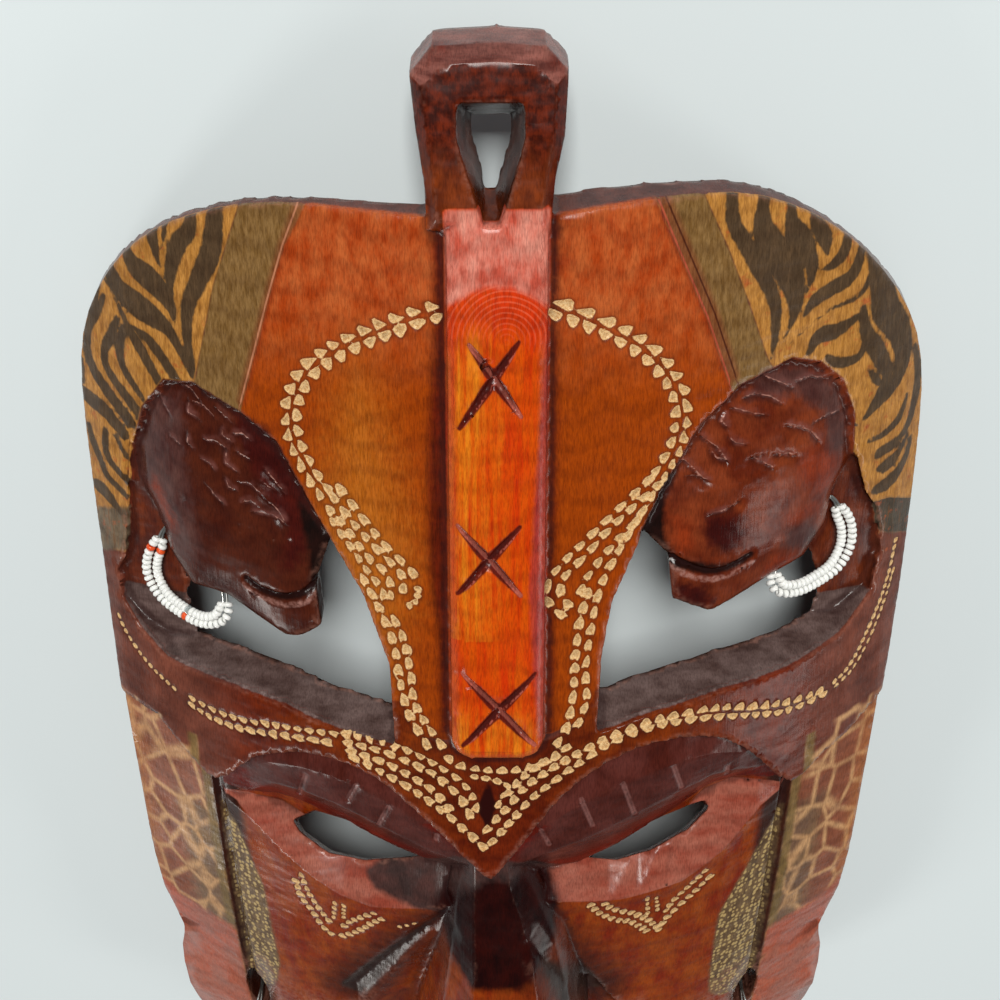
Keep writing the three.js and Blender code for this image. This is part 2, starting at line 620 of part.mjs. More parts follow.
// The hole drilled for the bare wire of a loop
function drilledAlong(sections) {
  const inside = sections.filter(({ bare }) => bare);
  const rings = inside.map(({ point, wide, thin }) => Array.from({ length: 6 }, (_, k) => {
    const angle = (k / 6) * 2 * Math.PI;
    return point.clone()
      .addScaledVector(wide, DRILL * Math.cos(angle)).addScaledVector(thin, DRILL * Math.sin(angle)).toArray();
  }));
  const triangles = [];
  for (let r = 0; r + 1 < rings.length; r += 1) {
    for (let k = 0; k < 6; k += 1) {
      const a = 6 * r + k;
      const b = 6 * r + (k + 1) % 6;
      triangles.push([a, b + 6, b], [a, a + 6, b + 6]);
    }
  }
  const end = 6 * (rings.length - 1);
  for (let k = 1; k < 5; k += 1) triangles.push([0, k, k + 1], [end, end + k + 1, end + k]);
  return solidOf(geometryFrom(rings.flat(), triangles));
}

const upward = () => new THREE.Vector3(0, 0, 1);

// Earring of a head, as plan points and how deep below the front each one lies
const LEFT_EARRING = [
  [-72.3, 60.4, 3], [-73.8, 57, 2], [-74.1, 53.4, 2], [-72, 50.2, 2], [-67.5, 48.7, 2],
  [-62, 48.8, 2], [-58.6, 50.3, 3], [-57.6, 53.2, 4.8], [-59, 57.4, 5.5], [-62, 61.6, 5.5],
  [-66.4, 64.6, 5], [-70.4, 63.8, 4.8],
];
const RIGHT_EARRING = [
  [70.3, 68.4, 3], [71.8, 65.2, 2], [72, 61, 2], [69.8, 57.7, 2], [65.4, 56.5, 2],
  [60.6, 56.5, 2], [57.2, 57.4, 3], [55.9, 60, 4.8], [57, 64.2, 5.5], [60, 68.4, 5.5],
  [64, 71.6, 5], [68, 71.6, 4.8],
];
const headEarring = (plan) => loopSections({
  path: plan.map(([x, y, deep]) => [x, y, boardFront(x, y) - deep]),
  bareFrom: 0.545,
  bareTo: 0.975,
  thinOf: upward,
});

// Beads that hang from a lobe hole, over the front of the lobe, round its lower edge and behind it
const LOBE_STRAND = [[65.9, -93.5], [68.4, -100.5], [70.8, -107.5], [73, -114]];
const LOBE_EDGE = { x: 75, y: -121, turn: -118.6 };
const STRAND_LIFT = 2.1;
const STRAND_BEHIND = 2.9;
function lobeLoop(side) {
  const over = LOBE_STRAND.map(([x, y]) => [side * x, y, earFront(x, y) + STRAND_LIFT]);
  const under = [...LOBE_STRAND].reverse().map(
    ([x, y]) => [side * x, y, earFront(x, y) - SHELL - STRAND_BEHIND]);
  const { x: edgeX, y: edgeY, turn } = LOBE_EDGE;
  const edge = earFront(edgeX, turn);
  const round = [
    [side * (edgeX - 0.6), turn - 0.6, edge + 1],
    [side * edgeX, edgeY, edge - SHELL / 2],
    [side * (edgeX - 0.6), turn - 0.6, edge - SHELL - 1.8],
  ];
  const { x, low } = LOBE_HOLE;
  const wire = [
    [side * (x + 0.9), low + 1, earFront(x, low) - SHELL - 1.8],
    [side * x, low + 3.6, earFront(x, low) - SHELL / 2],
    [side * (x + 0.9), low + 0.4, earFront(x, low) + 1.2],
  ];
  const across = new THREE.Vector3(side * 20.5, 7.1, -9.5).normalize();
  return loopSections({
    path: [...over, ...round, ...under, ...wire],
    bareFrom: 0.745,
    bareTo: 0.985,
    thinOf: (tangent) => new THREE.Vector3().crossVectors(across, tangent),
  });
}

// Assembly

function carveMask(drilledHoles) {
  const outside = joined([carveBoard(), carveFace(), carveEar(-1), carveEar(1)]);
  const shell = outside.subtract(carveHollow());
  const open = shell
    .subtract(carveOpening(LEFT_OPENING, -1))
    .subtract(carveOpening(RIGHT_OPENING, 1))
    .subtract(carveBed(LEFT_HEAD))
    .subtract(carveBed(RIGHT_HEAD))
    .subtract(carveBesideNose(NASAL_FOLD_LEFT))
    .subtract(carveBesideNose(NASAL_FOLD_RIGHT));
  const dressed = joined([
    open,
    carveHead(LEFT_HEAD, { from: [-52, 60], to: [-34, 65] }, { from: [-67, 76], to: [-36, 74] }),
    carveHead(RIGHT_HEAD, { from: [50, 67], to: [29, 70] }, { from: [30, 84], to: [57, 88] }),
    carveStrap(),
    carveLoop(),
    carveNose(),
    carveLip(-92, 19, 5, 8),
    carveLip(-103, 17, 5.5, 8.5),
  ]);
  const cuts = [
    cutSlit(SLIT_LEFT), cutSlit(SLIT_RIGHT), cutLobeHole(-1), cutLobeHole(1), ...crossCuts(), ...drilledHoles, cutLoopHole(),
  ];
  return cuts.reduce((wood, cut) => wood.subtract(cut), dressed);
}

const group = new THREE.Group();

function addPiece(name, geometry, material) {
  const piece = new THREE.Mesh(geometry, material);
  piece.name = name;
  group.add(piece);
}

const wood = new THREE.MeshStandardMaterial({ color: STAIN_ORANGE, roughness: 0.35, metalness: 0 });
const glass = new THREE.MeshStandardMaterial({ color: BEAD_WHITE, roughness: 0.2, metalness: 0 });
const earrings = { left: headEarring(LEFT_EARRING), right: headEarring(RIGHT_EARRING) };
const drilled = Object.values(earrings).map(drilledAlong);
addPiece('carved_mask', geometryOf(carveMask(drilled)), wood);
addPiece('left_head_earring', beadedLoop(earrings.left), glass);
addPiece('right_head_earring', beadedLoop(earrings.right), glass);
addPiece('left_lobe_beads', beadedLoop(lobeLoop(-1)), glass);
addPiece('right_lobe_beads', beadedLoop(lobeLoop(1)), glass);

export default group;
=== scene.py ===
"""Looks of a carved and painted wooden mask with beaded earrings, lying on its back.

The mask is one carved piece of soft wood, stained, painted and lacquered, with rows of pale chips
cut through the lacquer. Four loops of glass seed beads on wire hang from its heads and lobes.
Plan measures are millimetres in the frame of the model: X across, Y up to the hanging loop and Z
towards the eye. Meshes are handed to Blender in metres.
"""

import logging
import math
from dataclasses import dataclass
from enum import Enum
from functools import reduce

import bpy
import numpy as np
from mathutils import Matrix, Vector
from mathutils.kdtree import KDTree

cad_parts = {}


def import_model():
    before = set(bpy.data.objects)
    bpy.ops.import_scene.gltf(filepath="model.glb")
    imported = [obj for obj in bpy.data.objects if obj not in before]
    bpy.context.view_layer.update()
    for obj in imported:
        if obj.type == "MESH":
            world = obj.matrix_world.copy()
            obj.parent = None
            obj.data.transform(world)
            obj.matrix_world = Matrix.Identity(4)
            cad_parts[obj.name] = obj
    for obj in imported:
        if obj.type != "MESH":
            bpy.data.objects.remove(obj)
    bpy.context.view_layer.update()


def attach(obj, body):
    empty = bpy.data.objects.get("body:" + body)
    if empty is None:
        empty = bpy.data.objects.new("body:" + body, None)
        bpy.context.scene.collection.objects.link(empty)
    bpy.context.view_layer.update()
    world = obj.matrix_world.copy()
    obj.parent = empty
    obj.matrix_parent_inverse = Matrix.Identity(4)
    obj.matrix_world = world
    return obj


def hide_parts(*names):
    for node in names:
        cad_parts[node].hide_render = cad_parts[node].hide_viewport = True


log = logging.getLogger("mask")

MM = 0.001
NOWHERE = -9.0
Array = np.ndarray
Point = tuple[float, float]
Line = tuple[Point, ...]
Triple = tuple[float, float, float]
Socket = bpy.types.NodeSocket
Inputs = dict[str | int, object]
Ink = str | Socket
Edge = tuple[str, float, float] | tuple[str, float, float, float]
Patches = tuple[Triple, float, float]


# Plain helpers


def linear(code: str) -> tuple[float, float, float, float]:
    """Turn an sRGB hex colour into the linear colour that a shader takes.

    Args:
        code: Six hex digits with a leading #.

    Returns:
        Linear red, green, blue and a full alpha.
    """
    parts = [int(code[i:i + 2], 16) / 255 for i in (1, 3, 5)]
    even = [c / 12.92 if c <= 0.04045 else ((c + 0.055) / 1.055) ** 2.4 for c in parts]
    return (even[0], even[1], even[2], 1.0)


def ease(t: Array | float) -> Array:
    """Smooth step from 0 to 1."""
    t = np.clip(t, 0.0, 1.0)
    return t * t * (3 - 2 * t)


def stepped(pairs: Line, at: Array) -> Array:
    """Straight steps through (position, value) pairs."""
    return np.interp(at, [p for p, _ in pairs], [v for _, v in pairs])


def smooth_line(points: Line, gap: float = 0.6) -> Array:
    """Lay a smooth curve through plan points.

    Args:
        points: Points that the curve passes.
        gap: Distance between the points of the result.

    Returns:
        Evenly spaced points on the curve, one per row.
    """
    p = np.array(points, float)
    if len(p) > 2:
        p = np.vstack([2 * p[0] - p[1], p, 2 * p[-1] - p[-2]])
        parts = []
        for i in range(1, len(p) - 2):
            t = np.linspace(0, 1, 24, endpoint=False)[:, None]
            a, b, c, d = p[i - 1:i + 3]
            parts.append(0.5 * (2 * b + (c - a) * t + (2 * a - 5 * b + 4 * c - d) * t**2
                                + (3 * b - a - 3 * c + d) * t**3))
        p = np.vstack(parts + [p[-2][None]])
    run = np.concatenate([[0], np.cumsum(np.linalg.norm(np.diff(p, axis=0), axis=1))])
    at = np.linspace(0, run[-1], max(2, int(run[-1] / gap) + 1))
    return np.stack([np.interp(at, run, p[:, k]) for k in range(p.shape[1])], axis=1)


def off_line(xy: Array, line: Array, half: Array | None = None) -> Array:
    """Distance of points from a line that may have a width.

    Args:
        xy: Points, one per row.
        line: Points of the line.
        half: Half the width of the line at each of its points.

    Returns:
        Distance from the edge of the line, negative inside it.
    """
    best = np.full(len(xy), 1e3)
    half = np.zeros(len(line)) if half is None else half
    for a, b, ha, hb in zip(line[:-1], line[1:], half[:-1], half[1:]):
        ab = b - a
        t = np.clip(((xy - a) @ ab) / max(ab @ ab, 1e-9), 0, 1)
        best = np.minimum(best, np.linalg.norm(xy - a - t[:, None] * ab, axis=1) - (ha + (hb - ha) * t))
    return best


def beside_line(xy: Array, line: Line) -> tuple[Array, Array]:
    """Distance from a line and the side of it.

    Args:
        xy: Points, one per row.
        line: Points of the line.

    Returns:
        Distance of each point, and whether it lies right of the line as one walks along it.
    """
    best, right = np.full(len(xy), 1e3), np.zeros(len(xy), bool)
    ring = np.array(line, float)
    for a, b in zip(ring[:-1], ring[1:]):
        ab = b - a
        t = np.clip(((xy - a) @ ab) / max(ab @ ab, 1e-9), 0, 1)
        far = np.linalg.norm(xy - a - t[:, None] * ab, axis=1)
        turn = ab[0] * (xy[:, 1] - a[1]) - ab[1] * (xy[:, 0] - a[0])
        right = np.where(far < best, turn < 0, right)
        best = np.minimum(best, far)
    return best, right


def within(xy: Array, outline: Array | Line) -> Array:
    """Signed distance to a closed outline.

    Args:
        xy: Points, one per row.
        outline: Corners of the outline.

    Returns:
        Distance of each point from the outline, positive inside it.
    """
    ring = np.array(outline, float)
    far = off_line(xy, np.vstack([ring, ring[:1]]))
    inside = np.zeros(len(xy), bool)
    for (x0, y0), (x1, y1) in zip(ring, np.roll(ring, -1, axis=0)):
        crosses = (y0 > xy[:, 1]) != (y1 > xy[:, 1])
        reach = (x1 - x0) * (xy[:, 1] - y0) / ((y1 - y0) or 1e-9) + x0
        inside ^= crosses & (xy[:, 0] < reach)
    return np.where(inside, far, -far)


def meet(*parts: Array | float) -> Array:
    """Where several fields overlap, as a signed distance."""
    return reduce(np.minimum, parts)


def plateau(field: Array) -> Array:
    """A field raised steeply at its edge, so that only other limits count inside it."""
    return 9 * np.clip(field, -1, 1)


def boxed(xy: Array, ring: Array, margin: float) -> Array:
    """Points near an outline.

    Args:
        xy: Points, one per row.
        ring: Corners of the outline.
        margin: How far round it still counts.

    Returns:
        True for each point in the box round the outline.
    """
    low, high = ring.min(0) - margin, ring.max(0) + margin
    return np.all((xy[:, :2] > low) & (xy[:, :2] < high), axis=1)


def only(obj: bpy.types.Object) -> None:
    """Select one object alone and make it the active one.

    Args:
        obj: The object.
    """
    bpy.ops.object.select_all(action="DESELECT")
    obj.select_set(True)
    bpy.context.view_layer.objects.active = obj


def apply_modifier(obj: bpy.types.Object, kind: str, **settings: object) -> None:
    """Add a modifier to an object and apply it.

    Args:
        obj: The object.
        kind: Blender's name of the modifier type.
        **settings: Values set on the modifier.
    """
    only(obj)
    made = obj.modifiers.new(kind.title(), kind)
    for key, value in settings.items():
        setattr(made, key, value)
    bpy.ops.object.modifier_apply(modifier=made.name)


def points_of(obj: bpy.types.Object) -> Array:
    """Read the vertices of an object.

    Args:
        obj: The object.

    Returns:
        Its vertices in millimetres, one per row.
    """
    flat = np.empty(len(obj.data.vertices) * 3)
    obj.data.vertices.foreach_get("co", flat)
    return flat.reshape(-1, 3) / MM


def put_points(obj: bpy.types.Object, points: Array) -> None:
    """Set the vertices of an object, given in millimetres."""
    obj.data.vertices.foreach_set("co", (points * MM).ravel())
    obj.data.update()


def normals_of(obj: bpy.types.Object) -> Array:
    """Read the vertex normals of an object.

    Args:
        obj: The object.

    Returns:
        Its normals, one per row.
    """
    flat = np.empty(len(obj.data.vertices) * 3)
    obj.data.vertex_normals.foreach_get("vector", flat)
    return flat.reshape(-1, 3)


def mark_faces(obj: bpy.types.Object, vertices: Array) -> int:
    """Select the faces whose corners are all marked, and go to edit mode.

    Args:
        obj: The object.
        vertices: True for each marked vertex.

    Returns:
        The number of faces selected.
    """
    only(obj)
    mesh = obj.data
    corner = np.empty(len(mesh.loops), int)
    mesh.loops.foreach_get("vertex_index", corner)
    start = np.empty(len(mesh.polygons), int)
    mesh.polygons.foreach_get("loop_start", start)
    chosen = np.minimum.reduceat(vertices[corner].astype(int), start).astype(bool)
    mesh.vertices.foreach_set("select", np.zeros(len(mesh.vertices), bool))
    mesh.edges.foreach_set("select", np.zeros(len(mesh.edges), bool))
    mesh.polygons.foreach_set("select", chosen)
    bpy.ops.object.mode_set(mode="EDIT")
    bpy.ops.mesh.select_mode(type="FACE")
    return int(chosen.sum())


class Neighbours:
    """Means over the neighbours of each vertex of an object."""

    def __init__(self, obj: bpy.types.Object) -> None:
        """Read the edges of an object.

        Args:
            obj: The object.
        """
        ends = np.empty(len(obj.data.edges) * 2, int)
        obj.data.edges.foreach_get("vertices", ends)
        self.a, self.b = ends.reshape(-1, 2).T
        self.size = len(obj.data.vertices)
        both = np.concatenate([self.a, self.b])
        self.count = np.maximum(np.bincount(both, minlength=self.size), 1)

    def mean(self, values: Array) -> Array:
        """Mean of the values over each vertex's neighbours."""
        total = np.bincount(self.a, values[self.b], self.size)
        return (total + np.bincount(self.b, values[self.a], self.size)) / self.count

    def means(self, rows: Array) -> Array:
        """Mean of the rows, column by column, over each vertex's neighbours."""
        return np.stack([self.mean(rows[:, k]) for k in range(rows.shape[1])], axis=1)


# The lie of the carved surfaces


@dataclass(frozen=True)
class FrontSurface:
    """The long curved front of the mask, and the lower fronts of face and ears."""

    crown_y: float = 143.0
    crown_z: float = 33.6
    rise: float = 0.32
    flatten: float = 0.000376
    radius: float = 113.5
    curl: float = 0.12
    half_width: float = 79.0
    face_middle: Line = (
        (-169, 16), (-155, 26), (-140, 35), (-118, 45), (-90, 53), (-60, 57), (-30, 60), (0, 61),
        (40, 61))
    ear_inner: Line = ((-120, 27), (-90, 34), (-60, 38), (-30, 41), (24, 41.5))
    ear_outer: Line = ((-120, 16), (-94, 22.5), (-66, 24), (-50, 27), (-30, 29), (24, 28))
    groove: float = 64.5
    ear_x: float = 85.5
    strap_x: float = -0.9
    strap_half: float = 9.1
    strap_proud: float = 2.6

    def cross_drop(self, x: Array) -> Array:
        """How far the front turns back at a place across."""
        return x * x / (2 * self.radius) * (1 + self.curl * (x / self.half_width) ** 2)

    def board(self, x: Array, y: Array) -> Array:
        """Height of the crown board."""
        below = self.crown_y - y
        return self.crown_z + self.rise * below - self.flatten * below**2 - self.cross_drop(x)

    def face(self, x: Array, y: Array) -> Array:
        """Height of the face below the brow."""
        return stepped(self.face_middle, y) - self.cross_drop(x)

    def ear(self, x: Array, y: Array) -> Array:
        """Height of an ear panel."""
        across = (np.abs(x) - self.groove) / (self.ear_x - self.groove)
        return stepped(self.ear_inner, y) * (1 - across) + stepped(self.ear_outer, y) * across

    def off_strap(self, x: Array) -> Array:
        """Distance from the middle of the strap."""
        return np.abs(x - self.strap_x)

    def strap(self, x: Array, y: Array) -> Array:
        """Height of the strap down the middle, a little crowned across."""
        across = np.clip(self.off_strap(x) / self.strap_half, 0, 1)
        return self.board(0 * x, y) + self.strap_proud * (1.25 - 0.62 * across**5) - 0.4


FRONT = FrontSurface()


# Chips cut through the lacquer


class ChipShape(Enum):
    """Outline of one chip: along the row from 0 to 1, across it from -1 to 1."""

    FIN = ((0.0, -0.55), (0.4, 0.25), (0.75, 0.95), (0.95, 0.8), (1.0, 0.0), (0.9, -0.95), (0.45, -0.85))
    TOOTH = ((0.0, -0.7), (0.1, 0.1), (0.5, 1.0), (0.72, 0.95), (0.9, 0.1), (1.0, -0.8), (0.5, -1.0))
    LEAF = ((0.0, 0.1), (0.3, 0.85), (0.72, 1.0), (1.0, 0.7), (0.9, -0.1), (1.0, -0.8),
    (0.6, -0.95), (0.15, -0.4))
    BEAD = ((0.0, 0.0), (0.3, 0.85), (0.8, 0.9), (1.0, 0.1), (0.8, -0.85), (0.25, -0.8))


@dataclass(frozen=True)
class ChipRow:
    """A row of chips along a line through their middles."""

    line: Line
    count: int
    shape: ChipShape = ChipShape.LEAF
    tall: float = 2.0
    fill: float = 0.86
    flip: int = 1
    start: float = 1.0
    end: float = 1.0
    seed: int = 1

    def outlines(self) -> list[Array]:
        """Work out the outline of every chip in the row.

        Returns:
            One array of plan points for each chip.
        """
        rng = np.random.default_rng(self.seed)
        path = smooth_line(self.line, 0.25)
        run = np.concatenate([[0], np.cumsum(np.linalg.norm(np.diff(path, axis=0), axis=1))])
        swell = np.linspace(self.start, self.end, self.count)
        ends = np.concatenate([[0], np.cumsum(swell * rng.uniform(0.88, 1.12, self.count))])
        ends *= run[-1] / ends[-1]
        shapes = []
        for begin, stop, size in zip(ends[:-1], ends[1:], swell):
            length = (stop - begin) * self.fill
            middle = (begin + stop) / 2
            here = np.array([np.interp(middle, run, path[:, k]) for k in (0, 1)])
            ahead = np.array([np.interp(middle + 0.6, run, path[:, k]) for k in (0, 1)])
            behind = np.array([np.interp(middle - 0.6, run, path[:, k]) for k in (0, 1)])
            along = (ahead - behind) / max(np.linalg.norm(ahead - behind), 1e-6)
            side = np.array([-along[1], along[0]]) * self.flip
            turn = rng.normal(0, 0.1)
            tall = self.tall * min(size, 1.15) * rng.uniform(0.86, 1.12)
            ring = []
            for s, t in self.shape.value:
                s += rng.normal(0, 0.035) - 0.5
                t += rng.normal(0, 0.08) + turn * s
                ring.append(here + along * s * length + side * t * tall / 2)
            shapes.append(np.array(ring))
        return shapes


def beside(line: Line, aside: float) -> Line:
    """Shift a line sideways.

    Args:
        line: Points of the line.
        aside: How far it moves to its left.

    Returns:
        Points of the shifted line.
    """
    path = smooth_line(line, 2.0)
    along = np.gradient(path, axis=0)
    along /= np.linalg.norm(along, axis=1)[:, None]
    return tuple(map(tuple, path + aside * np.stack([-along[:, 1], along[:, 0]], axis=1)))


LOOP_LEFT = (
    (-10.8, 122.2), (-18.9, 119.2), (-28.5, 114.4), (-35.8, 109), (-39.6, 102.5), (-40, 95.5),
    (-37, 89), (-33.6, 84.5))
LOOP_RIGHT = (
    (8.4, 123), (17.3, 119.3), (26.6, 113.6), (32.6, 106), (34, 100), (32.8, 94), (29.6, 88.8))

CHIP_ROWS = (
    ChipRow(beside(LOOP_LEFT, -1.25), 18, ChipShape.FIN, 1.8, 0.86, -1, 1.3, 1.05, 11),
    ChipRow(beside(LOOP_LEFT, 1.2), 17, ChipShape.TOOTH, 1.75, 0.84, 1, 1.2, 1.0, 12),
    ChipRow(beside(LOOP_RIGHT, 1.25), 15, ChipShape.FIN, 1.8, 0.86, 1, 1.6, 0.95, 13),
    ChipRow(beside(LOOP_RIGHT, -1.2), 15, ChipShape.TOOTH, 1.75, 0.84, -1, 1.2, 1.0, 14),
    ChipRow(((-32.3, 88), (-28.5, 83.5), (-23, 77), (-18, 72.5), (-16.6, 70.4)),
            7, tall=1.8, fill=0.8, seed=21),
    ChipRow(((-16.3, 69.3), (-16.4, 67.2), (-17.2, 65.6), (-18.8, 64.6)),
            4, ChipShape.BEAD, 1.5, seed=22),
    ChipRow(((-33.6, 86), (-29, 80.5), (-23.5, 75), (-19.6, 71), (-19.4, 67)),
            8, tall=1.7, fill=0.82, seed=23),
    ChipRow(((-34.4, 83), (-30.8, 79.6), (-26.5, 74.2), (-22.2, 70.4), (-21.8, 65.4)),
            8, tall=1.7, fill=0.82, seed=24),
    ChipRow(((-33.6, 81), (-30, 76), (-26.6, 71.4), (-23.6, 67.6), (-23, 65)),
            7, tall=1.6, fill=0.82, seed=25),
    ChipRow(((-27.8, 70.5), (-24, 63), (-21.7, 57), (-20.6, 50.5), (-19.2, 42.4), (-14.6, 33.6)),
            12, tall=1.9, start=0.9, end=1.05, seed=26),
    ChipRow(((-21.8, 62.8), (-19.3, 57), (-18.2, 50), (-17.2, 43), (-11.6, 33.8)), 10, tall=1.9, seed=27),
    ChipRow(((29.6, 90.2), (24, 85.5), (14, 76.6), (9.6, 71.6), (8.6, 68), (10, 65), (12.6, 62.6)),
            11, tall=1.6, fill=0.82, seed=31),
    ChipRow(((31.2, 88.6), (22.4, 81.8), (15.2, 74.6), (11.4, 70.2), (12.2, 66.6), (13.6, 64.4)),
            10, tall=1.75, fill=0.82, seed=32),
    ChipRow(((29.6, 87), (25.4, 80.8), (20.5, 76), (16.6, 71), (14.8, 67)),
            8, tall=1.7, fill=0.82, seed=33),
    ChipRow(((26.8, 82.6), (23.4, 77), (19.5, 69.5), (17.4, 60), (16.6, 50), (16.9, 44.5), (15, 38.5)),
            14, tall=1.65, fill=0.84, seed=34),
    ChipRow(((17, 69.2), (15.5, 63.5), (14.5, 55), (14.1, 45.5), (12.7, 38.3), (10.4, 34.6)),
            11, tall=1.9, seed=35),
    ChipRow(((-84.2, 40), (-82, 36.2), (-77.2, 32.4), (-70, 29.8)),
            12, ChipShape.BEAD, 1.15, 0.8, seed=41),
    ChipRow(((-67.6, 30), (-61.5, 29.7), (-55, 30.3), (-47, 32), (-41, 32.9), (-33, 34), (-26, 34.2),
             (-19.5, 33), (-13.5, 30.4), (-8.2, 26.6), (-5.6, 22.4), (-5.4, 19.6)),
            27, ChipShape.TOOTH, 1.7, 0.85, -1, 0.8, 0.95, 42),
    ChipRow(((-67.8, 28.4), (-62, 27.6), (-56.5, 27.9), (-50, 29.2), (-41.5, 30.9), (-34.8, 31.6)),
            13, ChipShape.LEAF, 1.6, 0.9, 1, 0.85, 1.2, 43),
    ChipRow(((-33, 32.4), (-24, 31.8), (-14.5, 28.4), (-8.6, 23), (-6.2, 18)), 11, tall=1.9, seed=44),
    ChipRow(((-32.4, 30.8), (-23.5, 29.2), (-15, 24.8), (-10.3, 19.6)), 9, tall=1.9, seed=45),
    ChipRow(((-32, 29.6), (-25.5, 27.4), (-18.5, 24), (-11.5, 18.9), (-6.5, 14.2), (-3.2, 10.6)),
            12, tall=1.9, seed=46),
    ChipRow(((-12, 33), (-8, 30.6), (0, 29.8), (6, 30.6), (12, 33)),
            9, ChipShape.TOOTH, 1.8, 0.8, 1, seed=47),
    ChipRow(((-6.8, 28.3), (-2.6, 27.7), (1.2, 26), (-0.2, 23.2), (-1.2, 20.6)),
            6, ChipShape.BEAD, 1.5, seed=48),
    ChipRow(((0.6, 23.4), (4.5, 28.3), (9, 31.6), (14, 35)), 7, tall=1.7, seed=49),
    ChipRow(((-4, 14.6), (1, 20.8), (6, 26.8), (14, 32), (21.6, 35.6)), 12, tall=1.9, seed=50),
    ChipRow(((-3, 11.4), (1.5, 17.3), (6.5, 23.3), (13, 28.6), (19.5, 32.9)), 11, tall=1.8, seed=51),
    ChipRow(((21.5, 35.7), (28, 37.5), (34.5, 38), (44.5, 37), (54, 34), (62.5, 31.6), (69.6, 30.6)),
            17, ChipShape.TOOTH, 1.75, 0.85, 1, 1.1, 0.95, 52),
    ChipRow(((19.5, 33.2), (26.5, 35.6), (33.5, 36.3), (42.5, 35.3), (52.5, 32.4), (60.5, 29.9),
             (70.5, 29.2)),
            18, ChipShape.TOOTH, 1.6, 0.85, -1, 1.1, 0.9, 53),
    ChipRow(((71.2, 30.6), (75.6, 33), (79, 37.8), (82, 44), (83.9, 50), (84.9, 57)),
            20, ChipShape.BEAD, 1.2, 0.85, seed=54),
    ChipRow(((71.6, 29.4), (76.8, 31.8), (80.6, 37), (83.4, 43.6), (85.2, 50)),
            16, ChipShape.BEAD, 0.9, 0.8, seed=55),
)

FACE_ROWS = (
    ChipRow(((-47.8, -20.6), (-46.5, -27.5), (-44.5, -31.4), (-42.2, -36.7), (-39.6, -39.7)), 9, seed=61),
    ChipRow(((-46.2, -17.6), (-44.4, -25.2), (-42.2, -30.3), (-40.1, -34.4)), 8, tall=1.7, seed=62),
    ChipRow(((-38.6, -39.4), (-36.7, -38), (-32.8, -34), (-29.8, -29.7), (-27, -26.7)), 8, seed=63),
    ChipRow(((-37.6, -35.2), (-35.3, -31.7), (-32.4, -28.6), (-28.7, -24.8)), 6, tall=1.8, seed=64),
    ChipRow(((-38.3, -24.7), (-39.3, -32.4)), 4, ChipShape.BEAD, 1.2, seed=65),
    ChipRow(((-36.3, -24.6), (-36.7, -31.1)), 4, ChipShape.BEAD, 1.2, seed=66),
    ChipRow(((-24.4, -29.7), (-19, -26.3)), 3, ChipShape.BEAD, 1.3, 0.6, seed=67),
    ChipRow(((19.6, -18.3), (22, -23.2), (24.8, -26.1), (27.2, -28.2), (30.1, -29.9), (34.2, -35.7)),
            11, seed=68),
    ChipRow(((22.6, -18.6), (24.2, -21.5), (27.2, -24.2), (30.1, -26.2), (33.3, -29.7), (36.5, -35.1)),
            10, seed=69),
    ChipRow(((36.4, -37), (38.2, -31.9), (40.8, -28.6), (43.4, -25.6), (46, -22.6), (48.6, -19.8)),
            9, seed=70),
    ChipRow(((37.6, -29.4), (39.6, -25.1), (42.2, -22.1), (44.4, -19.6), (47, -16.8)),
            8, tall=1.8, seed=71),
    ChipRow(((33, -20.2), (33.7, -28.4)), 4, ChipShape.BEAD, 1.2, seed=72),
    ChipRow(((35.2, -21.2), (36, -28)), 4, ChipShape.BEAD, 1.2, seed=73),
)


# Knife nicks in the hair of the two heads and across the upper lids

